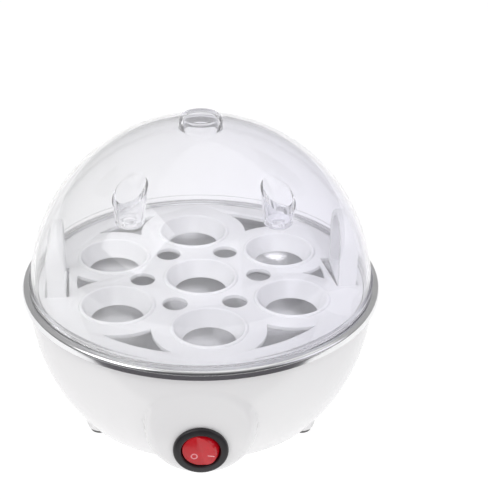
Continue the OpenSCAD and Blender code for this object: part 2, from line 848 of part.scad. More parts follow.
// ---- thermostat ----
module thermostat_cap() {
    color(steel) disc(cap_r, under - cap_h, cap_h);
}
module thermostat_body() {
    color(black) difference() {
        disc(cap_r - 0.4, body_bottom, under - cap_h - body_bottom);
        for (s = [-1, 1]) translate([0, s * stat_tab_y, 0]) rotate([0, 0, 90])
            tab(tab_w, body_bottom - 1, body_bottom + 1);
    }
}
module thermostat_flange() {
    color(steel) difference() {
        union() {
            disc(cap_r + 1.5, ear_z, ear_t);
            for (s = [-1, 1]) {
                translate([s * ear_x, 0, 0]) disc(3.4, ear_z, ear_t);
                block(min(0, s * ear_x), max(0, s * ear_x), -3.4, 3.4, ear_z,
                    ear_z + ear_t);
            }
        }
        disc(cap_r + fit_gap, ear_z - 1, ear_t + 2);
        for (s = [-1, 1]) translate([s * ear_x, 0, 0])
            disc(small_stud_r + fit_gap, ear_z - 1, ear_t + 2);
    }
}
module thermostat_terminals() {
    color(brass_tone) for (s = [-1, 1]) translate([0, s * stat_tab_y, 0])
        rotate([0, 0, 90]) tab(tab_w, stat_tab_tip, body_bottom + 1);
}
module thermostat_studs() {
    z = ear_z - small_nut_h - 0.8;
    color(zinc) for (s = [-1, 1]) translate([s * ear_x, 0, 0])
        disc(small_stud_r, z, under - z);
}
module thermostat_nuts() {
    color(zinc) for (s = [-1, 1]) translate([s * ear_x, 0, 0])
        nut(small_nut_af, small_stud_r + fit_gap, ear_z - small_nut_h, small_nut_h);
}

// ---- fuse ----
module fuse_axis() {
    translate([0, fuse_y, fuse_z]) rotate([0, 90, 0]) children();
}
module thermal_fuse() {
    color(steel) fuse_axis() {
        disc(fuse_r, -fuse_half, 2 * fuse_half);
        disc(0.5, -fuse_wire_half, 2 * fuse_wire_half);
    }
}
module fuse_sleeve() {
    color([0.85, 0.84, 0.78]) fuse_axis()
        ring(sleeve_r, fuse_r + fit_gap, 2 - fuse_wire_half, 2 * fuse_wire_half - 4);
}
module fuse_clip() {
    out_r = sleeve_r + 0.8;
    color(zinc) difference() {
        union() {
            fuse_axis() disc(out_r, -3, 6);
            translate([0, fuse_y, 0])
                block(-3, 3, -out_r, out_r, fuse_z, clamp_z);
            translate([0, fuse_y, 0])
                block(-3, 3, -out_r - 4, out_r + 4, clamp_z - 0.8, clamp_z);
        }
        fuse_axis() disc(sleeve_r + fit_gap, -4, 8);
        translate([0, fuse_y, 0])
            block(-4, 4, -sleeve_r - fit_gap, sleeve_r + fit_gap, fuse_z, clamp_z + 1);
    }
}

// ---- leads ----
// Where each lead starts or ends
sleeve_drop = 3;
stat_end_z = stat_tab_tip - sleeve_drop;
heater_end_z = heater_tab_tip - sleeve_drop;
heater_x = heater_tab_r * cos(heater_tab_angles[0]);
heater_y = heater_tab_r * sin(heater_tab_angles[0]);
fuse_end = fuse_wire_half + crimp_len;
tag_end = [stud_circle_r * cos(120) + 10 * sin(120), stud_circle_r * sin(120) - 10 * cos(120)];

module lead_line() {
    start = [barrel_x[2], block_front, barrel_z];
    finish = switch_point(0, sleeve_end);
    color([0.45, 0.28, 0.18]) tube(smooth([start, start + [0, -6, -0.5], start + [4, -25, -2.5],
        [13, -14, 10.8], finish + [6, 13, -5.4], finish + [0.8, 4, -0.5], finish], 7),
        lead_r, [0, 0, 1]);
}
module lead_switched() {
    start = switch_point(contact_x, sleeve_end);
    finish = [0, -stat_tab_y, stat_end_z];
    color([0.1, 0.1, 0.1]) tube(smooth([start, start + [-0.8, 4, -0.4],
        start + [-2.8, 19, -2.4], finish + [-5, -11, -3.4], finish + [-1.2, -3.2, -4.6],
        finish + [0, -0.4, -2.8], finish], 7), lead_r, [1, 0.2, 0]);
}
module lead_fused() {
    from_stat = [0, stat_tab_y, stat_end_z];
    to_fuse = [fuse_end, fuse_y, fuse_z];
    from_fuse = [-fuse_end, fuse_y, fuse_z];
    to_heater = [heater_x, -heater_y, heater_end_z];
    color([0.85, 0.85, 0.8]) {
        tube(smooth([from_stat, from_stat + [0.3, 0.4, -2.8], from_stat + [6, 2, -4.6],
            from_stat + [16, -2, -2], to_fuse + [6, 18, -11], to_fuse + [7.5, 7, -3],
            to_fuse + [3.5, 0.4, 0], to_fuse], 7), lead_r, [0.3, 1, 0.2]);
        tube(smooth([from_fuse, from_fuse + [-4.5, 0.4, -2], from_fuse + [-11, 6, -12],
            to_heater + [1.7, -4.5, -5.6], to_heater + [0, -0.4, -3.6], to_heater], 7),
            lead_r, [1, 1, 0]);
    }
}
module lead_neutral() {
    start = [heater_x, heater_y, heater_end_z];
    finish = [barrel_x[0], block_front, barrel_z + 0.4];
    color([0.15, 0.3, 0.75]) tube(smooth([start, start + [0, 0.2, -3.5],
        start + [2.7, 4.2, -7.5], [-24, finish[1] - 13, finish[2]],
        finish + [-3, -8, 0], finish + [0, -4, 0], finish], 7), lead_r, [1, -1, 0.1]);
}
module lead_lamp() {
    start = switch_point(lamp_tab_x, sleeve_end);
    finish = [barrel_x[0], block_y - block_d / 2, barrel_z - 3.2];
    color([0.75, 0.75, 0.8]) tube(smooth([start, start + [0.8, 4, -1.5],
        start + [2.8, 13, -9], [6, -24, 9.2], [-2, 0, 9], [-8, finish[1] - 16, 9],
        finish + [0, -6, -0.4], finish], 7), 0.7, [1, 0.1, 0]);
}
module lead_earth() {
    start = [barrel_x[1], block_front, barrel_z];
    finish = [tag_end[0], tag_end[1], nut_z - tag_t / 2];
    color([0.35, 0.6, 0.2]) tube(smooth([start, start + [0.5, -4, 1], start + [2, -5, 6],
        start + [2, 1, 12], finish + [10.8, 0, -2.4], finish + [4.3, 2.5, 0], finish], 7),
        lead_r, [1, 0.3, 0]);
}
module earth_tag() {
    z = nut_z - tag_t;
    color(brass_tone) rotate([0, 0, 120]) translate([stud_circle_r, 0, 0]) difference() {
        union() {
            disc(4, z, tag_t);
            block(-1.5, 1.5, -10, 0, z, z + tag_t);
        }
        disc(stud_r + fit_gap, z - 1, tag_t + 2);
    }
}
module crimp_sleeves() {
    color([0.85, 0.85, 0.82]) {
        at_switch() for (x = [contact_x, 0, lamp_tab_x]) translate([x, 0, 0])
            sleeve(small_tab_w, tab_tip);
        for (s = [-1, 1]) translate([0, s * stat_tab_y, 0]) rotate([0, 0, 90])
            sleeve(tab_w, stat_tab_tip);
        around(heater_tab_angles, heater_tab_r) sleeve(tab_w, heater_tab_tip);
    }
}
module butt_crimps() {
    color(zinc) for (s = [-1, 1]) fuse_axis() translate([0, 0, s * (fuse_wire_half + crimp_len / 2)])
        cylinder(r = 1.5, h = crimp_len, center = true);
}

lid_dome();
egg_tray();
heating_pan();
base_shell();
base_plate();
cover_screws();
feet_pads();
cord_gland();
terminal_block();
block_barrels();
block_screws();
switch_housing();
switch_rocker();
rocker_plunger();
plunger_spring();
contact_lever();
switch_terminals();
neon_lamp();
heater_mica_upper();
heater_ribbon();
heater_mica_lower();
heater_clamp_plate();
clamp_studs();
clamp_washers();
clamp_nuts();
heater_terminals();
heater_insulators();
thermostat_body();
thermostat_cap();
thermostat_flange();
thermostat_terminals();
thermostat_studs();
thermostat_nuts();
thermal_fuse();
fuse_sleeve();
fuse_clip();
pan_brackets();
bracket_screws();
earth_tag();
lead_line();
lead_switched();
lead_fused();
lead_neutral();
lead_lamp();
lead_earth();
crimp_sleeves();
butt_crimps();
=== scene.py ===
import bpy
import json
from math import acos, asin, atan2, cos, hypot, pi, radians, sin, sqrt, tan
from mathutils import Matrix, Vector


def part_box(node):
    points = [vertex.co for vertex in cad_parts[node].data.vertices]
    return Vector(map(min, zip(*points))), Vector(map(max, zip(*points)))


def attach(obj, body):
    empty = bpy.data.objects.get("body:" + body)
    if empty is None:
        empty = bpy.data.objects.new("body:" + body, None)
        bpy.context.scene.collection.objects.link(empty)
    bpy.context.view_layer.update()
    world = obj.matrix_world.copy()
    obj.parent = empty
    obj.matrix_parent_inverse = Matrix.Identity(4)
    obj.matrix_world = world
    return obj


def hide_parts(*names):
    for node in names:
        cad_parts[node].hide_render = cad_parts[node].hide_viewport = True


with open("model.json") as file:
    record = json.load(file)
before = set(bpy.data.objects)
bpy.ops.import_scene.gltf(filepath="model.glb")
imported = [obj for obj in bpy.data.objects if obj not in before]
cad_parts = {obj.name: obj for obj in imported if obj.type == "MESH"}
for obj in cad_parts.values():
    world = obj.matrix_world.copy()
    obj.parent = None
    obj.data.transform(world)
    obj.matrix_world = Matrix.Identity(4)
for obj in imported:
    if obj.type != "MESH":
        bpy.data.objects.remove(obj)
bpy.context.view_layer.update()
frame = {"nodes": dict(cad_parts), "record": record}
mm = 0.001
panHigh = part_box("heating_pan")[1]
print("frame loaded")

# camera, light and floor

camera = {
    "elevation": 29.7,      # degrees above the table
    "distance": 0.70,
    "aimHeight": 0.062,     # the rim's lower edge, on the axis
    "lens": 109.0,
    "shiftX": 0.0864,
    "shiftY": 0.0668,
}
studio = {
    "floorSize": 12.0,
    "floorColor": (0.25, 0.25, 0.25, 1),
    "floorGlow": 0.86,
    "skyTop": (1.0, 1.0, 1.0, 1),
    "skyFront": (0.20, 0.20, 0.21, 1),
    "skyStrength": 0.42,
    "skyLean": 0.7,              # how much brighter the back is than the front
    "skyBand": (0.1, 0.55),
    "backdrop": (1, 1, 1, 1),
    "keyPlace": (-1.1, -0.55, 1.25),
    "keySize": 1.1,
    "keyPower": 8,
    "topPlace": (0.25, 0.35, 1.7),
    "topSize": 1.6,
    "topPower": 4,
    "fillPlace": (1.3, -0.3, 0.8),
    "fillSize": 1.0,
    "fillPower": 2.5,
    "fillColor": (0.93, 0.92, 1.0),
    "frontPlace": (0.2, -1.6, 1.2),
    "frontSize": 1.5,
    "frontPower": 12,
    # the dark card is a painted dark reflection: only glossy rays see it, so the steel mirrors
    # shade there
    "flagLow": (-0.4, -0.7),     # a dark card on the floor that only the steel mirrors
    "flagHigh": (0.4, -0.105),
    "mirroredShadeColor": (0.13, 0.125, 0.135, 1),
}


def deselectAll():
    if bpy.context.object and bpy.context.object.mode != "OBJECT":
        bpy.ops.object.mode_set(mode="OBJECT")
    bpy.ops.object.select_all(action="DESELECT")


def onlySelect(piece):
    deselectAll()
    piece.select_set(True)
    bpy.context.view_layer.objects.active = piece


def placeCamera():
    tilt = radians(camera["elevation"])
    reach = camera["distance"]
    bpy.ops.object.camera_add(
        location=(0, -reach * cos(tilt), camera["aimHeight"] + reach * sin(tilt)),
        rotation=(pi / 2 - tilt, 0, 0))
    shot = bpy.context.object
    shot.name = "productCamera"
    shot.data.lens = camera["lens"]
    shot.data.shift_x = camera["shiftX"]
    shot.data.shift_y = camera["shiftY"]
    shot.data.clip_start = 0.01
    bpy.context.scene.camera = shot


def softbox(name, place, size, power, color=(1, 1, 1)):
    bpy.ops.object.light_add(type="AREA", location=place)
    lamp = bpy.context.object
    lamp.name = name
    lamp.data.shape = "SQUARE"
    lamp.data.size = size
    lamp.data.energy = power
    lamp.data.color = color
    aim = Vector((0, 0, camera["aimHeight"])) - Vector(place)
    lamp.rotation_euler = aim.to_track_quat("-Z", "Y").to_euler()


def makeSky():
    # bright above and behind, darker on the camera's side, and white where it is seen directly
    world = bpy.data.worlds.new("studioSky")
    world.use_nodes = True
    bpy.context.scene.world = world
    nodes, links = world.node_tree.nodes, world.node_tree.links
    nodes.clear()
    out = nodes.new("ShaderNodeOutputWorld")
    mix = nodes.new("ShaderNodeMixShader")
    seen = nodes.new("ShaderNodeBackground")
    light = nodes.new("ShaderNodeBackground")
    path = nodes.new("ShaderNodeLightPath")
    place = nodes.new("ShaderNodeTexCoord")
    split = nodes.new("ShaderNodeSeparateXYZ")
    lift = nodes.new("ShaderNodeMath")
    ramp = nodes.new("ShaderNodeValToRGB")
    seen.inputs["Color"].default_value = studio["backdrop"]
    light.inputs["Strength"].default_value = studio["skyStrength"]
    lift.operation = "MULTIPLY_ADD"
    lift.inputs[1].default_value = studio["skyLean"]
    ramp.color_ramp.elements[0].position = studio["skyBand"][0]
    ramp.color_ramp.elements[0].color = studio["skyFront"]
    ramp.color_ramp.elements[1].position = studio["skyBand"][1]
    ramp.color_ramp.elements[1].color = studio["skyTop"]
    links.new(place.outputs["Generated"], split.inputs[0])
    links.new(split.outputs["Y"], lift.inputs[0])
    links.new(split.outputs["Z"], lift.inputs[2])
    links.new(lift.outputs[0], ramp.inputs[0])
    links.new(ramp.outputs[0], light.inputs["Color"])
    links.new(path.outputs["Is Camera Ray"], mix.inputs[0])
    links.new(light.outputs[0], mix.inputs[1])
    links.new(seen.outputs[0], mix.inputs[2])
    links.new(mix.outputs[0], out.inputs[0])


def makeFloor():
    bpy.ops.mesh.primitive_plane_add(size=studio["floorSize"], location=(0, 0, 0))
    floor = bpy.context.object
    floor.name = "studioFloor"
    bpy.ops.object.mode_set(mode="EDIT")
    bpy.ops.mesh.subdivide(number_cuts=4)
    bpy.ops.object.mode_set(mode="OBJECT")
    paper = bpy.data.materials.new("paperFloor")
    paper.use_nodes = True
    skin = paper.node_tree.nodes["Principled BSDF"]
    skin.inputs["Base Color"].default_value = studio["floorColor"]
    skin.inputs["Roughness"].default_value = 0.9
    skin.inputs["Specular IOR Level"].default_value = 0.1
    skin.inputs["Emission Color"].default_value = (1, 1, 1, 1)
    skin.inputs["Emission Strength"].default_value = studio["floorGlow"]
    floor.data.materials.append(paper)


def makeFlag():
    low, high = studio["flagLow"], studio["flagHigh"]
    bpy.ops.mesh.primitive_plane_add(
        size=1, location=((low[0] + high[0]) / 2, (low[1] + high[1]) / 2, 0.001))
    flag = bpy.context.object
    flag.name = "mirroredShadeCard"
    flag.scale = (high[0] - low[0], high[1] - low[1], 1)
    bpy.ops.object.transform_apply(location=False, rotation=False, scale=True)
    card = bpy.data.materials.new("mirroredShadeBlack")
    card.use_nodes = True
    skin = card.node_tree.nodes["Principled BSDF"]
    skin.inputs["Base Color"].default_value = studio["mirroredShadeColor"]
    skin.inputs["Roughness"].default_value = 1
    skin.inputs["Specular IOR Level"].default_value = 0
    flag.data.materials.append(card)
    # seen only by glossy rays: a painted dark reflection in the steel, standing in for the dark
    # room in front
    flag.visible_camera = False
    flag.visible_diffuse = False
    flag.visible_shadow = False
    flag.visible_transmission = False


deselectAll()
placeCamera()
makeSky()
softbox("keyLight", studio["keyPlace"], studio["keySize"], studio["keyPower"])
softbox("topLight", studio["topPlace"], studio["topSize"], studio["topPower"])
softbox("fillLight", studio["fillPlace"], studio["fillSize"], studio["fillPower"],
        studio["fillColor"])
# the front light only softens the shade, so that the steel still mirrors a dark room
softbox("frontLight", studio["frontPlace"], studio["frontSize"], studio["frontPower"])
bpy.context.object.visible_glossy = False
makeFloor()
makeFlag()
bpy.context.scene.view_settings.view_transform = "Standard"
print("studio ready")

# drawing with points


def arc(middle, radius, fromAngle, toAngle, steps):
    # points along an arc in the (across, up) plane, angles in degrees
    points = []
    for i in range(steps + 1):
        angle = radians(fromAngle + (toAngle - fromAngle) * i / steps)
        points.append((middle[0] + radius * cos(angle), middle[1] + radius * sin(angle)))
    return points


def firstPoint(name, point):
    # a plane merged to one vertex, in edit mode, at the start of an outline
    deselectAll()
    bpy.ops.mesh.primitive_plane_add(size=mm, location=(0, 0, 0))
    piece = bpy.context.object
    piece.name = name
    bpy.ops.object.mode_set(mode="EDIT")
    bpy.ops.mesh.select_mode(type="VERT")
    bpy.ops.mesh.select_all(action="SELECT")
    bpy.ops.mesh.merge(type="CENTER")
    bpy.ops.transform.translate(value=point)
    return piece


def drawOutline(name, points):
    # points are 3-D, in millimetres; the outline is left open and in edit mode
    points = [Vector(p) * mm for p in points]
    piece = firstPoint(name, points[0])
    for before, after in zip(points, points[1:]):
        bpy.ops.mesh.extrude_region_move(
            TRANSFORM_OT_translate={"value": tuple(after - before)})
    return piece


def closeMesh(merge=2e-6):
    bpy.ops.mesh.select_all(action="SELECT")
    bpy.ops.mesh.remove_doubles(threshold=merge)
    bpy.ops.mesh.normals_make_consistent(inside=False)
    bpy.ops.object.mode_set(mode="OBJECT")


def smoothShade(piece, angle=30):
    onlySelect(piece)
    bpy.ops.object.shade_smooth_by_angle(angle=radians(angle))


def turned(name, profile, steps, angle=30):
    # a closed profile of (radius, height) in millimetres, spun about the upright axis
    piece = drawOutline(name, [(r, 0, z) for r, z in profile + profile[:1]])
    bpy.ops.mesh.select_all(action="SELECT")
    bpy.ops.mesh.spin(steps=steps, angle=2 * pi, center=(0, 0, 0), axis=(0, 0, 1))
    closeMesh()
    smoothShade(piece, angle)
    return piece


def slab(name, outline, low, high):
    # a flat outline of (x, y) in millimetres, filled and pulled up to a solid
    piece = drawOutline(name, [(x, y, low) for x, y in outline])
    bpy.ops.mesh.select_all(action="SELECT")
    bpy.ops.mesh.edge_face_add()
    bpy.ops.mesh.extrude_region_move(
        TRANSFORM_OT_translate={"value": (0, 0, (high - low) * mm)})
    closeMesh()
    return piece


def rod(name, radius, low, high, at=(0, 0), sides=64, tip=None):
    # an upright cylinder, or a cone when tip gives its upper radius; millimetres
    deselectAll()
    bpy.ops.mesh.primitive_cone_add(
        vertices=sides, radius1=radius * mm, radius2=(radius if tip is None else tip) * mm,
        depth=(high - low) * mm, location=(at[0] * mm, at[1] * mm, (low + high) / 2 * mm))
    piece = bpy.context.object
    piece.name = name
    settle(piece)
    return piece


def bar(name, low, high):
    deselectAll()
    middle = [(a + b) / 2 * mm for a, b in zip(low, high)]
    bpy.ops.mesh.primitive_cube_add(size=1, location=middle)
    piece = bpy.context.object
    piece.name = name
    piece.scale = [(b - a) * mm for a, b in zip(low, high)]
    settle(piece)
    return piece


def settle(piece):
    onlySelect(piece)
    bpy.ops.object.transform_apply(location=True, rotation=True, scale=True)


def moveMesh(piece, matrix):
    # puts a finished shape in its place and leaves the object at the origin
    piece.matrix_world = matrix
    settle(piece)


def copied(piece, name):
    twin = piece.copy()
    twin.data = piece.data.copy()
    twin.name = name
    bpy.context.collection.objects.link(twin)
    return twin


def joined(name, pieces):
    deselectAll()
    for piece in pieces:
        piece.select_set(True)
    bpy.context.view_layer.objects.active = pieces[0]
    bpy.ops.object.join()
    whole = bpy.context.object
    whole.name = name
    return whole


def carve(piece, tool, how="DIFFERENCE"):
    step = piece.modifiers.new("carve", "BOOLEAN")
    step.operation = how
    step.solver = "MANIFOLD"
    step.object = tool
    onlySelect(piece)
    bpy.ops.object.modifier_apply(modifier=step.name)
    bpy.data.objects.remove(tool)
    onlySelect(piece)
    bpy.ops.object.mode_set(mode="EDIT")
    bpy.ops.mesh.select_all(action="SELECT")
    bpy.ops.mesh.remove_doubles(threshold=1e-6)
    bpy.ops.mesh.dissolve_degenerate(threshold=1e-6)
    bpy.ops.object.mode_set(mode="OBJECT")


def soften(piece, width, angle=32, segments=2):
    step = piece.modifiers.new("soften", "BEVEL")
    step.width = width * mm
    step.segments = segments
    step.limit_method = "ANGLE"
    step.angle_limit = radians(angle)
    step.use_clamp_overlap = True
    onlySelect(piece)
    bpy.ops.object.modifier_apply(modifier=step.name)


def dress(piece, material):
    piece.data.materials.clear()
    piece.data.materials.append(material)


# finishes


def newFinish(name):
    finish = bpy.data.materials.new(name)
    finish.use_nodes = True
    return finish, finish.node_tree, finish.node_tree.nodes["Principled BSDF"]


def patchNoise(tree, scale, detail=4, stretch=(1, 1, 1)):
    nodes, links = tree.nodes, tree.links
    place = nodes.new("ShaderNodeTexCoord")
    turn = nodes.new("ShaderNodeMapping")
    noise = nodes.new("ShaderNodeTexNoise")
    turn.inputs["Scale"].default_value = stretch
    noise.inputs["Scale"].default_value = scale
    noise.inputs["Detail"].default_value = detail
    links.new(place.outputs["Object"], turn.inputs["Vector"])
    links.new(turn.outputs["Vector"], noise.inputs["Vector"])
    return noise.outputs["Fac"]


def shadeBetween(tree, source, dark, light, low=0.35, high=0.65):
    ramp = tree.nodes.new("ShaderNodeValToRGB")
    ramp.color_ramp.elements[0].position = low
    ramp.color_ramp.elements[0].color = (*dark, 1)
    ramp.color_ramp.elements[1].position = high
    ramp.color_ramp.elements[1].color = (*light, 1)
    tree.links.new(source, ramp.inputs[0])
    return ramp.outputs[0]


def numberBetween(tree, source, low, high):
    spread = tree.nodes.new("ShaderNodeMapRange")
    spread.inputs["From Min"].default_value = 0.3
    spread.inputs["From Max"].default_value = 0.7
    spread.inputs["To Min"].default_value = low
    spread.inputs["To Max"].default_value = high
    tree.links.new(source, spread.inputs["Value"])
    return spread.outputs["Result"]


def addBump(tree, shader, source, depth, strength=1.0):
    bump = tree.nodes.new("ShaderNodeBump")
    bump.inputs["Strength"].default_value = strength
    bump.inputs["Distance"].default_value = depth
    tree.links.new(source, bump.inputs["Height"])
    tree.links.new(bump.outputs["Normal"], shader.inputs["Normal"])


def moulded(name, look):
    # plastic, rubber or ceramic: faint cloudy colour, uneven gloss and a fine skin
    finish, tree, shader = newFinish(name)
    cloud = patchNoise(tree, look["cloudScale"], 3)
    skin = patchNoise(tree, look["skinScale"], 6)
    tree.links.new(shadeBetween(tree, cloud, look["dark"], look["light"]),
                   shader.inputs["Base Color"])
    tree.links.new(numberBetween(tree, cloud, *look["rough"]), shader.inputs["Roughness"])
    addBump(tree, shader, skin, look["skinDepth"] * mm, 0.6)
    shader.inputs["Coat Weight"].default_value = look.get("coat", 0)
    shader.inputs["Coat Roughness"].default_value = 0.08
    shader.inputs["Subsurface Weight"].default_value = look.get("glow", 0)
    shader.inputs["Subsurface Radius"].default_value = (0.004, 0.003, 0.003)
    return finish


def worked(name, look):
    # metal with drawn or rubbed marks along one direction and a little tarnish
    finish, tree, shader = newFinish(name)
    marks = patchNoise(tree, look["markScale"], 8, look["stretch"])
    stain = patchNoise(tree, look["stainScale"], 4)
    tree.links.new(shadeBetween(tree, stain, look["dark"], look["light"]),
                   shader.inputs["Base Color"])
    tree.links.new(numberBetween(tree, marks, *look["rough"]), shader.inputs["Roughness"])
    addBump(tree, shader, marks, look["markDepth"] * mm, 0.5)
    shader.inputs["Metallic"].default_value = 1
    return finish


plastics = {
    "shell_plastic": dict(dark=(0.83, 0.82, 0.83), light=(0.87, 0.865, 0.87), cloudScale=9,
                          rough=(0.16, 0.24), skinScale=700, skinDepth=0.004, coat=0.35),
    "tray_plastic": dict(dark=(0.84, 0.84, 0.85), light=(0.88, 0.88, 0.885), cloudScale=14,
                         rough=(0.2, 0.3), skinScale=650, skinDepth=0.004, coat=0.2),
    "plate_plastic": dict(dark=(0.78, 0.78, 0.77), light=(0.83, 0.83, 0.82), cloudScale=12,
                          rough=(0.45, 0.6), skinScale=900, skinDepth=0.02),
    "foot_rubber": dict(dark=(0.13, 0.13, 0.13), light=(0.17, 0.17, 0.17), cloudScale=90,
                        rough=(0.7, 0.85), skinScale=1500, skinDepth=0.03),
    "gland_rubber": dict(dark=(0.025, 0.025, 0.026), light=(0.045, 0.045, 0.046),
                         cloudScale=80, rough=(0.55, 0.7), skinScale=1200, skinDepth=0.02),
    "block_plastic": dict(dark=(0.68, 0.65, 0.56), light=(0.76, 0.73, 0.65), cloudScale=60,
                          rough=(0.4, 0.55), skinScale=900, skinDepth=0.015),
    "switch_plastic": dict(dark=(0.014, 0.012, 0.014), light=(0.022, 0.019, 0.022),
                           cloudScale=120, rough=(0.3, 0.42), skinScale=1600,
                           skinDepth=0.012),
    "ceramic_parts": dict(dark=(0.72, 0.7, 0.64), light=(0.82, 0.8, 0.75), cloudScale=150,
                          rough=(0.6, 0.75), skinScale=1800, skinDepth=0.03),
    "thermostat_plastic": dict(dark=(0.02, 0.016, 0.014), light=(0.05, 0.04, 0.035),
                               cloudScale=220, rough=(0.35, 0.5), skinScale=1500,
                               skinDepth=0.015),
    "mica_sheet": dict(dark=(0.34, 0.28, 0.18), light=(0.62, 0.55, 0.4), cloudScale=260,
                       rough=(0.3, 0.55), skinScale=500, skinDepth=0.05),
    "glass_fibre": dict(dark=(0.6, 0.58, 0.5), light=(0.82, 0.81, 0.75), cloudScale=900,
                        rough=(0.75, 0.9), skinScale=1400, skinDepth=0.08),
    "lead_brown": dict(dark=(0.09, 0.04, 0.02), light=(0.14, 0.065, 0.03), cloudScale=120,
                       rough=(0.35, 0.5), skinScale=1500, skinDepth=0.01),
    "lead_black": dict(dark=(0.012, 0.012, 0.012), light=(0.025, 0.025, 0.025),
                       cloudScale=120, rough=(0.35, 0.5), skinScale=1500, skinDepth=0.01),
    "lead_white": dict(dark=(0.7, 0.69, 0.65), light=(0.78, 0.77, 0.74), cloudScale=120,
                       rough=(0.35, 0.5), skinScale=1500, skinDepth=0.01),
    "lead_blue": dict(dark=(0.012, 0.04, 0.25), light=(0.02, 0.06, 0.34), cloudScale=120,
                      rough=(0.35, 0.5), skinScale=1500, skinDepth=0.01),
    "lead_grey": dict(dark=(0.24, 0.24, 0.25), light=(0.32, 0.32, 0.33), cloudScale=120,
                      rough=(0.35, 0.5), skinScale=1500, skinDepth=0.01),
    "sleeve_plastic": dict(dark=(0.6, 0.6, 0.56), light=(0.72, 0.72, 0.69), cloudScale=90,
                           rough=(0.3, 0.45), skinScale=900, skinDepth=0.01, glow=0.2),
}
metals = {
    "zinc_steel": dict(dark=(0.42, 0.42, 0.38), light=(0.62, 0.62, 0.58), stainScale=60,
                       rough=(0.28, 0.45), markScale=500, stretch=(1, 1, 0.2),
                       markDepth=0.01),
    "brass_parts": dict(dark=(0.45, 0.3, 0.1), light=(0.78, 0.58, 0.26), stainScale=90,
                        rough=(0.22, 0.4), markScale=700, stretch=(1, 0.3, 1),
                        markDepth=0.008),
    "spring_steel": dict(dark=(0.3, 0.3, 0.31), light=(0.5, 0.5, 0.52), stainScale=300,
                         rough=(0.25, 0.4), markScale=1500, stretch=(1, 1, 1),
                         markDepth=0.004),
    "heating_alloy": dict(dark=(0.1, 0.085, 0.08), light=(0.26, 0.22, 0.21), stainScale=160,
                          rough=(0.4, 0.6), markScale=900, stretch=(1, 0.4, 1),
                          markDepth=0.008),
    "aluminium_cap": dict(dark=(0.6, 0.6, 0.61), light=(0.78, 0.78, 0.79), stainScale=120,
                          rough=(0.25, 0.42), markScale=700, stretch=(0.3, 1, 1),
                          markDepth=0.008),
    "fuse_metal": dict(dark=(0.5, 0.47, 0.42), light=(0.7, 0.67, 0.62), stainScale=200,
                       rough=(0.25, 0.4), markScale=900, stretch=(0.3, 1, 1),
                       markDepth=0.006),
}
finishes = {name: moulded(name, look) for name, look in plastics.items()}
finishes.update({name: worked(name, look) for name, look in metals.items()})


def stripedFinish():
    # green insulation with a yellow stripe, from wave bands along the object's x
    finish, tree, shader = newFinish("lead_green")
    nodes, links = tree.nodes, tree.links
    place = nodes.new("ShaderNodeTexCoord")
    wave = nodes.new("ShaderNodeTexWave")
    wave.inputs["Scale"].default_value = 120
    wave.inputs["Distortion"].default_value = 1.5
    links.new(place.outputs["Object"], wave.inputs["Vector"])
    links.new(shadeBetween(tree, wave.outputs["Fac"], (0.04, 0.2, 0.02), (0.6, 0.5, 0.02),
                           0.55, 0.62), shader.inputs["Base Color"])
    links.new(numberBetween(tree, patchNoise(tree, 200), 0.35, 0.5),
              shader.inputs["Roughness"])
    return finish


steelLook = {
    "dark": (0.8, 0.8, 0.81),
    "light": (0.88, 0.88, 0.89),
    "rough": (0.12, 0.26),
    "ringScale": 2600,
    "ringDepth": 0.004,
    "stainScale": 45,
}


def polishedSteel():
    # mirror-polished sheet: faint turning marks round the axis and a few soft water stains
    look = steelLook
    finish, tree, shader = newFinish("polished_steel")
    nodes, links = tree.nodes, tree.links
    place = nodes.new("ShaderNodeTexCoord")
    split = nodes.new("ShaderNodeSeparateXYZ")
    across = nodes.new("ShaderNodeVectorMath")
    across.operation = "LENGTH"
    flat = nodes.new("ShaderNodeCombineXYZ")
    rings = nodes.new("ShaderNodeTexNoise")
    rings.noise_dimensions = "1D"
    rings.inputs["Scale"].default_value = look["ringScale"]
    rings.inputs["Detail"].default_value = 5
    links.new(place.outputs["Object"], split.inputs[0])
    links.new(split.outputs["X"], flat.inputs["X"])
    links.new(split.outputs["Y"], flat.inputs["Y"])
    links.new(flat.outputs[0], across.inputs[0])
    links.new(across.outputs["Value"], rings.inputs["W"])
    stain = patchNoise(tree, look["stainScale"], 5)
    links.new(shadeBetween(tree, stain, look["dark"], look["light"]),
              shader.inputs["Base Color"])
    links.new(numberBetween(tree, rings.outputs["Fac"], *look["rough"]),
              shader.inputs["Roughness"])
    addBump(tree, shader, rings.outputs["Fac"], look["ringDepth"] * mm, 0.35)
    shader.inputs["Metallic"].default_value = 1
    return finish


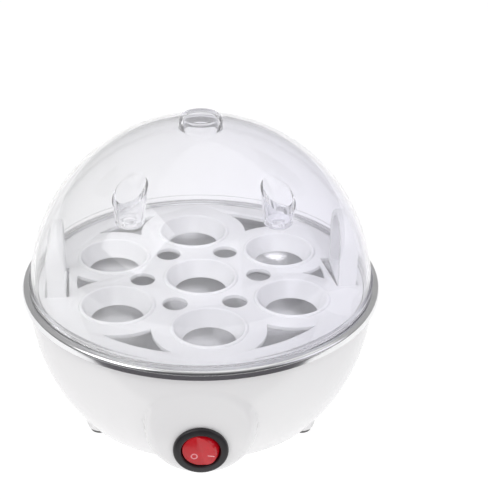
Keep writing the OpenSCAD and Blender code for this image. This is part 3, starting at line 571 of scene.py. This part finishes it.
def clearPlastic(name, look):
    # moulded clear plastic that lets lamps through, slightly milky, with faint flow marks; its
    # tint shifts from left to right across the object as painted light
    finish, tree, shader = newFinish(name)
    nodes, links = tree.nodes, tree.links
    place = nodes.new("ShaderNodeTexCoord")
    split = nodes.new("ShaderNodeSeparateXYZ")
    # painted light: a ramp along the object's x shifts the tint from the left tone to the right
    # tint, a painted reflection of the lilac fill light on the right side
    side = nodes.new("ShaderNodeMapRange")
    side.inputs["From Min"].default_value = -0.05
    side.inputs["From Max"].default_value = 0.07
    links.new(place.outputs["Object"], split.inputs[0])
    links.new(split.outputs["X"], side.inputs["Value"])
    links.new(shadeBetween(tree, side.outputs["Result"], look["left"], look["right"], 0, 1),
              shader.inputs["Base Color"])
    shader.inputs["Roughness"].default_value = look["rough"]
    shader.inputs["IOR"].default_value = look["bend"]
    shader.inputs["Transmission Weight"].default_value = look["clear"]
    shader.inputs["Coat Weight"].default_value = look["coat"]
    shader.inputs["Coat Roughness"].default_value = 0.02
    addBump(tree, shader, patchNoise(tree, 38, 2), look["waves"] * mm, 0.4)
    path = nodes.new("ShaderNodeLightPath")
    thru = nodes.new("ShaderNodeBsdfTransparent")
    mix = nodes.new("ShaderNodeMixShader")
    thru.inputs["Color"].default_value = (0.96, 0.96, 0.97, 1)
    links.new(path.outputs["Is Shadow Ray"], mix.inputs[0])
    links.new(shader.outputs[0], mix.inputs[1])
    links.new(thru.outputs[0], mix.inputs[2])
    links.new(mix.outputs[0], nodes["Material Output"].inputs["Surface"])
    return finish


redLook = {
    "dark": (0.42, 0.002, 0.008),
    "light": (0.52, 0.004, 0.013),
    "rough": (0.18, 0.28),
    "cloudScale": 160,
    # glow sets the strength of the rocker's painted red emission
    "glow": 0.1,
}


def redPlastic():
    # translucent red moulding with a glossy top coat and a painted glow: a faint red emission of
    # its own
    look = redLook
    finish, tree, shader = newFinish("red_plastic")
    cloud = patchNoise(tree, look["cloudScale"], 3)
    tree.links.new(shadeBetween(tree, cloud, look["dark"], look["light"]),
                   shader.inputs["Base Color"])
    tree.links.new(numberBetween(tree, cloud, *look["rough"]), shader.inputs["Roughness"])
    shader.inputs["Subsurface Weight"].default_value = 0.25
    shader.inputs["Subsurface Radius"].default_value = (0.003, 0.0004, 0.0004)
    # painted glow: a faint red emission brightens the rocker under any light
    shader.inputs["Emission Color"].default_value = (0.8, 0.005, 0.015, 1)
    shader.inputs["Emission Strength"].default_value = look["glow"]
    shader.inputs["Coat Weight"].default_value = 0.15
    shader.inputs["Coat Roughness"].default_value = 0.1
    addBump(tree, shader, patchNoise(tree, 1500, 4), 0.004 * mm, 0.5)
    return finish


finishes["lead_green"] = stripedFinish()
finishes["polished_steel"] = polishedSteel()
# the lid's shift from grey on the left to lilac on the right is painted fill light, not the
# plastic's own colour
finishes["clear_plastic"] = clearPlastic("clear_plastic", dict(
    left=(0.94, 0.94, 0.945), right=(0.945, 0.94, 0.985), rough=0.03, bend=1.16, clear=0.91,
    coat=0.6, waves=0.05))
finishes["lamp_glass"] = clearPlastic("lamp_glass", dict(
    left=(1.0, 0.72, 0.48), right=(1.0, 0.78, 0.52), rough=0.04, bend=1.45, clear=1,
    coat=0, waves=0.01))
finishes["red_plastic"] = redPlastic()
markPaint = moulded("mark_paint", dict(
    dark=(0.85, 0.34, 0.38), light=(0.95, 0.45, 0.48), cloudScale=400, rough=(0.35, 0.5),
    skinScale=2500, skinDepth=0.01))
print("finishes mixed")


def dressFrame():
    # every carried-over node takes the finish that its slot names
    for part in frame["record"]["subparts"]:
        dress(frame["nodes"][part["node"]], finishes[part["material_slot"]])


dressFrame()

# steel rim and pan

panShape = {
    "rimRadius": panHigh[0] / mm,
    "skirtFoot": 62.0,
    "rimTop": panHigh[2] / mm,
    "rimRound": 2.0,
    "sheet": 0.8,
    "stepRadius": 75.0,
    "stepRound": 0.7,
    "ledgeTop": 63.4,
    "wallRadius": 70.5,
    "floorTop": 42.0,
    "floorRound": 20.0,
    "steps": 180,
}


def makePan():
    s = panShape
    out, top, t = s["rimRadius"], s["rimTop"], s["sheet"]
    bend, step, wall = s["rimRound"], s["stepRound"], s["wallRadius"]
    mid, low = (out - bend, top - bend), s["floorRound"]
    sweep = (wall - low, s["floorTop"] + low)
    above = [(out, s["skirtFoot"] + 0.15)] + arc(mid, bend, 0, 90, 10)
    above += arc((s["stepRadius"] + step, top - step), step, 90, 180, 5)
    above += arc((s["stepRadius"] - step, s["ledgeTop"] + step), step, 0, -90, 5)
    above += arc((wall + step, s["ledgeTop"] - step), step, 90, 180, 5)
    above += arc(sweep, low, 0, -90, 28) + [(0, s["floorTop"])]
    below = [(0, s["floorTop"] - t)] + arc(sweep, low + t, -90, 0, 20)
    below += [(wall + t, s["ledgeTop"] - t), (s["stepRadius"] + t, s["ledgeTop"] - t)]
    below += [(s["stepRadius"] + t, top - t)] + arc(mid, bend - t, 90, 0, 6)
    below += [(out - t, s["skirtFoot"]), (out - 0.15, s["skirtFoot"])]
    pan = turned("steelPan", above + below, s["steps"])
    dress(pan, finishes["polished_steel"])
    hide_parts("heating_pan")
    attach(pan, "base")


makePan()
print("pan made")

# white base with its bulge and legs

shellShape = {
    "sideMiddle": (-8.0, 60.0),   # centre of the side's curve, (radius, height)
    "sideRadius": 87.0,
    "wall": 2.5,
    "edgeRound": 4.0,
    "bottom": 5.0,
    "top": 65.2,
    "lipRadius": 54.48,
    "ledgeRadius": 52.48,
    "plateTop": 7.5,
    "ledgeTop": 9.5,
    "bulgeRise": 9.0,             # above the switch's middle
    "bulgeRadius": 24.2,
    "bulgeRound": 4.0,
    "bulgeDepth": 30.0,
    "blend": 2.4,                 # how softly the bulge runs into the side
    "bulgeHalf": 30,              # the bulge lies within this of the middle, and as far forward
    "bulgeSearch": (52.0, 84.0),  # the bulge's skin lies between these radii
    "bulgeHalvings": 18,
    "sideRows": 130,
    "steps": 480,
}
legShape = {"angles": (90, 210, 330), "circle": 53.98, "foot": 5.5, "root": 8.5,
            "low": 1.5, "high": 12.0, "edge": 0.6}
switchSpot = {"y": -76.0, "z": 23.0, "tilt": 4.0, "roll": 13.0}
padShape = {"radius": 12.2, "depth": 5.0, "hole": 10.15, "round": 0.2, "clear": 0.3}
glandSpot = {"y": 70.46, "z": 20.0, "collar": 8.5, "depth": 10.0, "hole": 5.05,
             "recess": 1.75, "panel": 3.0, "clear": 0.5, "edge": 0.5}


def switchPlace():
    return (Matrix.Translation((0, switchSpot["y"] * mm, switchSpot["z"] * mm))
            @ Matrix.Rotation(radians(90 + switchSpot["tilt"]), 4, "X")
            @ Matrix.Rotation(radians(switchSpot["roll"]), 4, "Z"))


def glandPlace():
    return (Matrix.Translation((0, glandSpot["y"] * mm, glandSpot["z"] * mm))
            @ Matrix.Rotation(radians(-90), 4, "X"))


def softMax(a, b, reach):
    overlap = max(reach - abs(a - b), 0) / reach
    return max(a, b) + overlap * overlap * reach / 4


def insideBulge(place, inset):
    # place is in the switch's frame without its roll, in millimetres
    s = shellShape
    across = hypot(place.x, place.y - s["bulgeRise"])
    flat = s["bulgeRadius"] - s["bulgeRound"]
    bend = s["bulgeRound"] - inset
    if across > flat + bend or place.z < -s["bulgeDepth"]:
        return False
    drop = 0 if across < flat else bend - sqrt(bend ** 2 - (across - flat) ** 2)
    return place.z < -inset - drop


def bulgeReach(dx, dy, z, inset, toFace):
    # how far from the axis the bulge's skin lies, along one level direction
    low, high = shellShape["bulgeSearch"]
    if not insideBulge(toFace @ Vector((dx * low, dy * low, z)), inset):
        return 0
    for step in range(shellShape["bulgeHalvings"]):
        middle = (low + high) / 2
        if insideBulge(toFace @ Vector((dx * middle, dy * middle, z)), inset):
            low = middle
        else:
            high = middle
    return low


def pushBulge(shell):
    # moves the wall's vertices out to the switch's round bulge, blended at its sides
    s = shellShape
    tilt = Matrix.Rotation(radians(90 + switchSpot["tilt"]), 4, "X")
    toFace = (Matrix.Translation((0, switchSpot["y"], switchSpot["z"])) @ tilt).inverted()
    for vertex in shell.data.vertices:
        x, y, z = vertex.co / mm
        r = hypot(x, y)
        if y > -s["bulgeHalf"] or abs(x) > s["bulgeHalf"]:
            continue
        if r < s["lipRadius"] + 0.5 or z < s["bottom"] + 0.6:
            continue
        between = s["sideMiddle"][0] + sqrt(
            (s["sideRadius"] - s["wall"] / 2) ** 2 - (s["sideMiddle"][1] - z) ** 2)
        if z < s["bottom"] + s["edgeRound"]:
            between = s["lipRadius"] + 2.8
        inset = 0 if r > between else s["wall"]
        bulge = bulgeReach(x / r, y / r, z, inset, toFace)
        if bulge > r - s["blend"]:
            wide = softMax(r, bulge, s["blend"])
            vertex.co.x, vertex.co.y = x * wide / r * mm, y * wide / r * mm


def makeShell():
    s = shellShape
    mid, side, wall = s["sideMiddle"], s["sideRadius"], s["wall"]
    edge = (s["lipRadius"] + 3, s["bottom"] + s["edgeRound"])
    slope = -atan2(mid[1] - edge[1], edge[0] - mid[0]) * 180 / pi
    upper = asin((s["top"] - mid[1]) / side) * 180 / pi
    inner = side - wall
    floorAngle = asin((s["ledgeTop"] - mid[1]) / inner) * 180 / pi
    topAngle = asin((s["top"] - mid[1]) / inner) * 180 / pi
    profile = [(s["lipRadius"], s["bottom"] + 0.3), (s["lipRadius"] + 0.3, s["bottom"])]
    profile += [(s["lipRadius"] + 1.6, s["bottom"])]
    profile += arc(edge, s["edgeRound"], -90, slope, 12)[:-1]
    profile += arc(mid, side, slope, upper, s["sideRows"])
    profile += arc(mid, inner, topAngle, floorAngle, 34)
    profile += [(s["ledgeRadius"], s["ledgeTop"]), (s["ledgeRadius"], s["plateTop"]),
                (s["lipRadius"], s["plateTop"])]
    shell = turned("whiteBase", profile, s["steps"])
    pushBulge(shell)
    pad = turned("switchPad", [(padShape["hole"] - 1, -padShape["depth"]),
                               (padShape["radius"], -padShape["depth"])]
                 + arc((padShape["radius"] - padShape["round"], -padShape["round"]),
                       padShape["round"], 0, 90, 5)
                 + [(padShape["hole"] - 1, 0)], 96)
    moveMesh(pad, switchPlace())
    collar = rod("glandCollar", glandSpot["collar"], -glandSpot["depth"], 0, sides=96)
    soften(collar, glandSpot["edge"])
    moveMesh(collar, glandPlace())
    legs = [rod("leg", legShape["foot"], legShape["low"], legShape["high"],
                at=(legShape["circle"] * cos(radians(a)), legShape["circle"] * sin(radians(a))),
                tip=legShape["root"]) for a in legShape["angles"]]
    for leg in legs:
        soften(leg, legShape["edge"])
    front = rod("padClear", padShape["radius"] + padShape["clear"], 0.0, 12, sides=96)
    moveMesh(front, switchPlace())
    carve(shell, front)
    carve(shell, joined("baseExtras", [pad, collar] + legs), "UNION")
    through = rod("switchHole", padShape["hole"], -20, 8, sides=96)
    moveMesh(through, switchPlace())
    clear = rod("glandClear", glandSpot["collar"] + glandSpot["clear"], 0.0, 12, sides=96)
    moveMesh(clear, glandPlace())
    hole = rod("glandHole", glandSpot["hole"], -20, 5, sides=64)
    moveMesh(hole, glandPlace())
    recess = rod("glandRecess", glandSpot["hole"] + glandSpot["recess"], -20,
                 -glandSpot["panel"], sides=64)
    moveMesh(recess, glandPlace())
    carve(shell, joined("baseHoles", [through, clear]))
    carve(shell, hole)
    carve(shell, recess)
    smoothShade(shell, 35)
    dress(shell, finishes["shell_plastic"])
    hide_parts("base_shell")
    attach(shell, "base")


makeShell()
print("base made")

# egg tray

trayShape = {
    "turn": 4.64,
    "radius": 74.6,
    "top": 65.4,
    "thick": 1.7,
    "seatCircle": 45.3,
    "mouth": 15.4,
    "hole": 11.8,
    "depth": 7.0,
    "wall": 1.6,
    "lip": 0.9,
    "steamCircle": 26.8,
    "steamHole": 5.7,
    "bigKeep": 25.2,      # distance of the big corner holes from the seats' middles
    "bigEdge": 66.0,
    "smallKeep": 23.8,
    "smallEdge": 57.0,
    "handleIn": 62.0,
    "handleOut": 70.0,
    "handleWidth": 27.0,
    "handleTop": 31.0,
    "strap": 3.0,
    "domeGap": 2.5,
    "edgeRound": 0.4,
}
domeShape = {
    "middle": 63.0,
    "radius": 78.3,
    "wall": 2.0,
    "foot": 66.3,
    "ringWidth": 0.7,
    "ringTop": 69.0,
    "knobRadius": 9.5,
    "knobTop": 146.0,
    "knobRound": 1.5,
    "pockets": ((-30.2, -33.0), (33.0, -33.0)),
    "pocketRadius": 7.5,
    "pocketFoot": 4.9,
    "pocketHeight": 22.0,
    "pocketWall": 1.2,
    "pocketFloor": 112.0,
    "ventRadius": 2.7,
    "ventSpan": (100, 120),
    "pocketRound": 0.8,
    "fillet": 1.6,
    "steps": 192,
}


def cornerOutline(keep, edge):
    # the curved triangle between two neighbouring seats and the circle edge
    s = trayShape
    half = radians(30)
    seat = (s["seatCircle"] * cos(half), s["seatCircle"] * sin(half))
    tip = seat[0] + sqrt(keep ** 2 - seat[1] ** 2)
    spread = half - acos((edge ** 2 + s["seatCircle"] ** 2 - keep ** 2)
                         / (2 * edge * s["seatCircle"]))
    corner = (edge * cos(spread), edge * sin(spread))
    start = atan2(-seat[1], tip - seat[0]) * 180 / pi
    finish = atan2(corner[1] - seat[1], corner[0] - seat[0]) * 180 / pi
    upper = arc(seat, keep, start, finish, 14)
    outer = arc((0, 0), edge, spread * 180 / pi, -spread * 180 / pi, 14)[1:-1]
    lower = [(x, -y) for x, y in reversed(upper)]
    return upper + outer + lower[:-1]


def roundCorners(tool, width):
    # rounds the upright edges of a cutting tool
    onlySelect(tool)
    bpy.ops.object.mode_set(mode="EDIT")
    bpy.ops.mesh.select_mode(type="EDGE")
    bpy.ops.mesh.select_all(action="DESELECT")
    bpy.ops.object.mode_set(mode="OBJECT")
    faces = {}
    for face in tool.data.polygons:
        for key in face.edge_keys:
            faces.setdefault(key, []).append(face.normal)
    for edge in tool.data.edges:
        a, b = (tool.data.vertices[i].co for i in edge.vertices)
        sides = faces[edge.key]
        upright = abs((a - b).normalized().z) > 0.9
        edge.select = upright and len(sides) == 2 and sides[0].angle(sides[1]) > radians(40)
    bpy.ops.object.mode_set(mode="EDIT")
    bpy.ops.mesh.bevel(offset=width * mm, segments=4, affect="EDGES")
    bpy.ops.object.mode_set(mode="OBJECT")


def around(piece, angle):
    moveMesh(piece, Matrix.Rotation(radians(angle), 4, "Z"))
    return piece


def trayTools():
    # everything that is cut through the tray's plate
    s = trayShape
    low, high = s["top"] - s["thick"] - 3, s["top"] + 3
    tools = [rod("seatCut", s["mouth"] + 0.8, low, high, sides=96)]
    for a in range(30, 390, 60):
        at = (s["seatCircle"] * cos(radians(a)), s["seatCircle"] * sin(radians(a)))
        tools.append(rod("seatCut", s["mouth"] + 0.8, low, high, at, 96))
    for a in range(0, 360, 60):
        at = (s["steamCircle"] * cos(radians(a)), s["steamCircle"] * sin(radians(a)))
        tools.append(rod("steamCut", s["steamHole"], low, high, at, 56))
    big = slab("cornerCut", cornerOutline(s["bigKeep"], s["bigEdge"]), low, high)
    roundCorners(big, 1.0)
    small = slab("cornerCut", cornerOutline(s["smallKeep"], s["smallEdge"]), low, high)
    roundCorners(small, 0.8)
    for a in (60, 120, 240, 300):
        tools.append(around(copied(big, "cornerCut"), a))
    tools.append(around(copied(small, "cornerCut"), 0))
    tools.append(around(copied(small, "cornerCut"), 180))
    bpy.data.objects.remove(big)
    bpy.data.objects.remove(small)
    half = s["handleWidth"] / 2
    for a in (0, 180):
        slit = bar("slitCut", (s["handleOut"] + 0.3, -half, low),
                   (s["handleOut"] + 1.3, half, high))
        tools.append(around(slit, a))
    inner = bar("slitCut", (s["handleIn"] - 1.5, -half, low), (s["handleIn"] - 0.2, half, high))
    tools.append(around(inner, 180))
    wedge = slab("slitCut", [(s["handleIn"] - 0.2, -half), (s["handleIn"] - 0.2, half),
                             (s["handleIn"] - 4.4, half), (s["handleIn"] - 0.7, -half)],
                 low, high)
    tools.append(wedge)
    return joined("trayCuts", tools)


def seatProfile():
    s = trayShape
    top, lip = s["top"], s["lip"]
    profile = arc((s["mouth"] + lip, top), lip, 180, 0, 8)
    profile += [(s["mouth"] + s["wall"] + 0.2, top - s["thick"])]
    profile += [(s["hole"] + s["wall"], top - s["depth"]), (s["hole"] + 0.2, top - s["depth"])]
    profile += [(s["hole"], top - s["depth"] + 0.25)]
    return profile


def makeHandle():
    s = trayShape
    half, low = s["handleWidth"] / 2, s["top"] - s["thick"]
    spring = s["top"] + s["handleTop"] - half
    outer = [(-half, low)] + arc((0, spring), half, 180, 0, 32) + [(half, low)]
    inner = [(half - s["strap"], low)]
    inner += arc((0, spring), half - s["strap"], 0, 180, 28) + [(s["strap"] - half, low)]
    arch = slab("trayHandle", outer + inner, s["handleIn"], s["handleOut"])
    # drawn lying down: across becomes y and up becomes z, and the pull runs along x
    moveMesh(arch, Matrix(((0, 0, 1, 0), (1, 0, 0, 0), (0, 1, 0, 0), (0, 0, 0, 1))))
    deselectAll()
    bpy.ops.mesh.primitive_uv_sphere_add(
        segments=160, ring_count=96, location=(0, 0, domeShape["middle"] * mm),
        radius=(domeShape["radius"] - domeShape["wall"] - s["domeGap"]) * mm)
    ball = bpy.context.object
    settle(ball)
    carve(arch, ball, "INTERSECT")
    soften(arch, 0.7, 40, 3)
    return arch


def makeTray():
    s = trayShape
    tray = rod("eggTray", s["radius"], s["top"] - s["thick"], s["top"], sides=224)
    carve(tray, trayTools())
    soften(tray, s["edgeRound"], 50, 2)
    seat = turned("seat", seatProfile(), 96)
    seats = [copied(seat, "seat")]
    for a in range(30, 390, 60):
        twin = copied(seat, "seat")
        place = (s["seatCircle"] * mm * cos(radians(a)), s["seatCircle"] * mm * sin(radians(a)), 0)
        moveMesh(twin, Matrix.Translation(place))
        seats.append(twin)
    bpy.data.objects.remove(seat)
    handle = makeHandle()
    handles = [around(copied(handle, "trayHandle"), a) for a in (0, 180)]
    bpy.data.objects.remove(handle)
    carve(tray, joined("traySeats", seats), "UNION")
    carve(tray, joined("trayHandles", handles), "UNION")
    around(tray, s["turn"])
    smoothShade(tray, 35)
    dress(tray, finishes["tray_plastic"])
    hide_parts("egg_tray")
    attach(tray, "tray")


makeTray()
print("tray made")

# clear lid


def makeDome():
    s = domeShape
    mid, out = (0, s["middle"]), s["radius"]
    inn = out - s["wall"]
    knob, top, bend = s["knobRadius"], s["knobTop"], s["knobRound"]
    ringEdge = out + s["ringWidth"]
    footAngle = asin((s["ringTop"] + 0.4 - mid[1]) / out) * 180 / pi
    fillet = s["fillet"]
    seatHeight = mid[1] + sqrt((out + fillet) ** 2 - (knob + fillet) ** 2)
    joinAngle = atan2(seatHeight - mid[1], knob + fillet) * 180 / pi
    profile = [(inn + 0.4, s["foot"]), (ringEdge - 0.3, s["foot"]), (ringEdge, s["foot"] + 0.3)]
    profile += arc((ringEdge - 0.4, s["ringTop"] - 0.4), 0.4, 0, 80, 3)
    profile += arc(mid, out, footAngle, joinAngle, 72)
    profile += arc((knob + fillet, seatHeight), fillet, joinAngle + 180, 180, 4)[1:]
    profile += arc((knob - bend, top - bend), bend, 0, 90, 6) + [(0, top)]
    under = top - s["wall"]
    profile += [(0, under)] + arc((knob - s["wall"] - 1, under - 1), 1, 90, 0, 4)
    startInside = acos((knob - s["wall"]) / inn) * 180 / pi
    endInside = asin((s["foot"] + 0.3 - mid[1]) / inn) * 180 / pi
    profile += arc(mid, inn, startInside, endInside, 72)
    dome = turned("clearLid", profile, s["steps"])
    # two vertical steam pockets with a floor and a vent each
    tubes, wells, vents = [], [], []
    for x, y in s["pockets"]:
        tubes.append(rod("pocketTube", s["pocketFoot"] + s["pocketWall"],
                         s["pocketFloor"] - s["wall"], s["pocketFloor"] + s["pocketHeight"],
                         (x, y), 80, s["pocketRadius"] + s["pocketWall"]))
        wells.append(rod("pocketWell", s["pocketFoot"], s["pocketFloor"],
                         s["pocketFloor"] + s["pocketHeight"], (x, y), 80,
                         s["pocketRadius"]))
        vents.append(rod("pocketVent", s["ventRadius"], *s["ventSpan"], (x, y), 48))
    for tube in tubes + wells:
        soften(tube, s["pocketRound"], 50, 3)
    tube = joined("pocketTubes", tubes)
    deselectAll()
    bpy.ops.mesh.primitive_uv_sphere_add(segments=192, ring_count=128,
                                         radius=(out - 0.7) * mm, location=(0, 0, mid[1] * mm))
    ball = bpy.context.object
    settle(ball)
    carve(tube, ball, "INTERSECT")
    carve(dome, tube, "UNION")
    carve(dome, joined("pocketWells", wells))
    carve(dome, joined("pocketVents", vents))
    smoothShade(dome, 40)
    dress(dome, finishes["clear_plastic"])
    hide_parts("lid_dome")
    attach(dome, "lid")


makeDome()
print("lid made")

# switch

switchShape = {
    "bezelRadius": 12.0,
    "bezelHeight": 2.0,
    "bodyRadius": 10.0,
    "bodyDepth": 16.0,
    "cavity": 8.6,
    "cavityFloor": -14.0,
    "rockerRadius": 8.2,
    "pivot": -1.0,
    "half": 11.0,
    "valley": 2.2,
    "under": -2.6,
    "rockerEdge": 0.55,
    "pin": (1.2, -9.3, 9.3),        # radius, and from where to where along its axis
    "stem": (2.2, -4.6, -1.5),
    "stemBore": (1.25, -6.0, -1.0),
    "tabPlaces": (-4.3, 0, 5.3),
    "tabSlot": (0.42, 2.42),
    "earPlaces": (-10.3, 10.3),
    "ear": (0.9, 2.0, -8.0, -2.9),
    "offPlace": -3.0,
    "onPlace": 4.7,
    "markDrop": -2.4,
    "markLift": 0.03,
}


def makeBezel():
    s = switchShape
    out, high, bore = s["bezelRadius"], s["bezelHeight"], s["cavity"]
    profile = [(out - 0.2, 0), (out, 0.2)] + arc((out - 0.9, high - 0.9), 0.9, 0, 90, 6)
    profile += arc((bore + 0.5, high - 0.5), 0.5, 90, 180, 5)
    profile += [(bore, s["cavityFloor"]), (0, s["cavityFloor"]), (0, -s["bodyDepth"])]
    profile += [(s["bodyRadius"] - 0.4, -s["bodyDepth"]),
                (s["bodyRadius"], -s["bodyDepth"] + 0.4), (s["bodyRadius"], 0)]
    housing = turned("switchBezel", profile, 128)
    thick, wide = s["tabSlot"]
    slots = [bar("tabSlot", (x - thick, -wide, -20), (x + thick, wide, -10))
             for x in s["tabPlaces"]]
    carve(housing, joined("tabSlots", slots))
    thick, wide, low, top = s["ear"]
    ears = [bar("snapEar", (x - thick, -wide, low), (x + thick, wide, top))
            for x in s["earPlaces"]]
    for ear in ears:
        soften(ear, 0.4)
    carve(housing, joined("snapEars", ears), "UNION")
    moveMesh(housing, switchPlace())
    smoothShade(housing, 35)
    dress(housing, finishes["switch_plastic"])
    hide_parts("switch_housing")
    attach(housing, "base")


def rockerPlace():
    return (switchPlace() @ Matrix.Translation((0, 0, switchShape["pivot"] * mm))
            @ Matrix.Rotation(radians(-switchShape["half"]), 4, "Y"))


def makeRocker():
    s = switchShape
    deselectAll()
    bpy.ops.mesh.primitive_uv_sphere_add(segments=96, ring_count=64,
                                         radius=s["rockerRadius"] * mm)
    rocker = bpy.context.object
    rocker.name = "redRocker"
    bpy.ops.object.mode_set(mode="EDIT")
    bpy.ops.mesh.select_all(action="SELECT")
    bpy.ops.mesh.bisect(plane_co=(0, 0, s["under"] * mm), plane_no=(0, 0, -1),
                        use_fill=True, clear_outer=True)
    bpy.ops.object.mode_set(mode="OBJECT")
    rise = s["rockerRadius"] * tan(radians(s["half"])) * 1.3
    edge, deep = s["rockerRadius"] * 1.3, s["rockerRadius"] + 1
    vee = slab("rockerVee", [(0, s["valley"]), (edge, s["valley"] + rise), (edge, deep + 4),
                             (-edge, deep + 4), (-edge, s["valley"] + rise)], -deep, deep)
    moveMesh(vee, Matrix.Rotation(pi / 2, 4, "X"))
    carve(rocker, vee)
    soften(rocker, s["rockerEdge"], 25, 4)
    pins = rod("rockerPin", *s["pin"], sides=32)
    moveMesh(pins, Matrix.Rotation(pi / 2, 4, "X"))
    stem = rod("rockerStem", *s["stem"], sides=40)
    carve(rocker, pins, "UNION")
    carve(rocker, stem, "UNION")
    carve(rocker, rod("stemBore", *s["stemBore"], sides=40))
    moveMesh(rocker, rockerPlace())
    smoothShade(rocker, 30)
    dress(rocker, finishes["red_plastic"])
    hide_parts("switch_rocker")
    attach(rocker, "rocker")


def makeMarks():
    # the generic on and off marks, printed on the rocker's two faces
    s = switchShape
    deselectAll()
    bpy.ops.mesh.primitive_torus_add(major_segments=48, minor_segments=8,
                                     major_radius=1.25 * mm, minor_radius=0.24 * mm)
    ring = bpy.context.object
    ring.name = "offMark"
    ring.scale = (1, 1, 0.25)
    settle(ring)
    dash = bar("onMark", (-1.6, -0.25, -0.05), (1.6, 0.25, 0.05))
    soften(dash, 0.05)
    for mark, side, x in ((ring, -1, s["offPlace"]), (dash, 1, s["onPlace"])):
        height = s["valley"] + abs(x) * tan(radians(s["half"])) + s["markLift"]
        moveMesh(mark, rockerPlace() @ Matrix.Translation((x * mm, s["markDrop"] * mm,
                                                           height * mm))
                 @ Matrix.Rotation(radians(-s["half"] * side), 4, "Y"))
        smoothShade(mark)
        dress(mark, markPaint)
        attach(mark, "rocker")


makeBezel()
makeRocker()
makeMarks()
print("switch made")
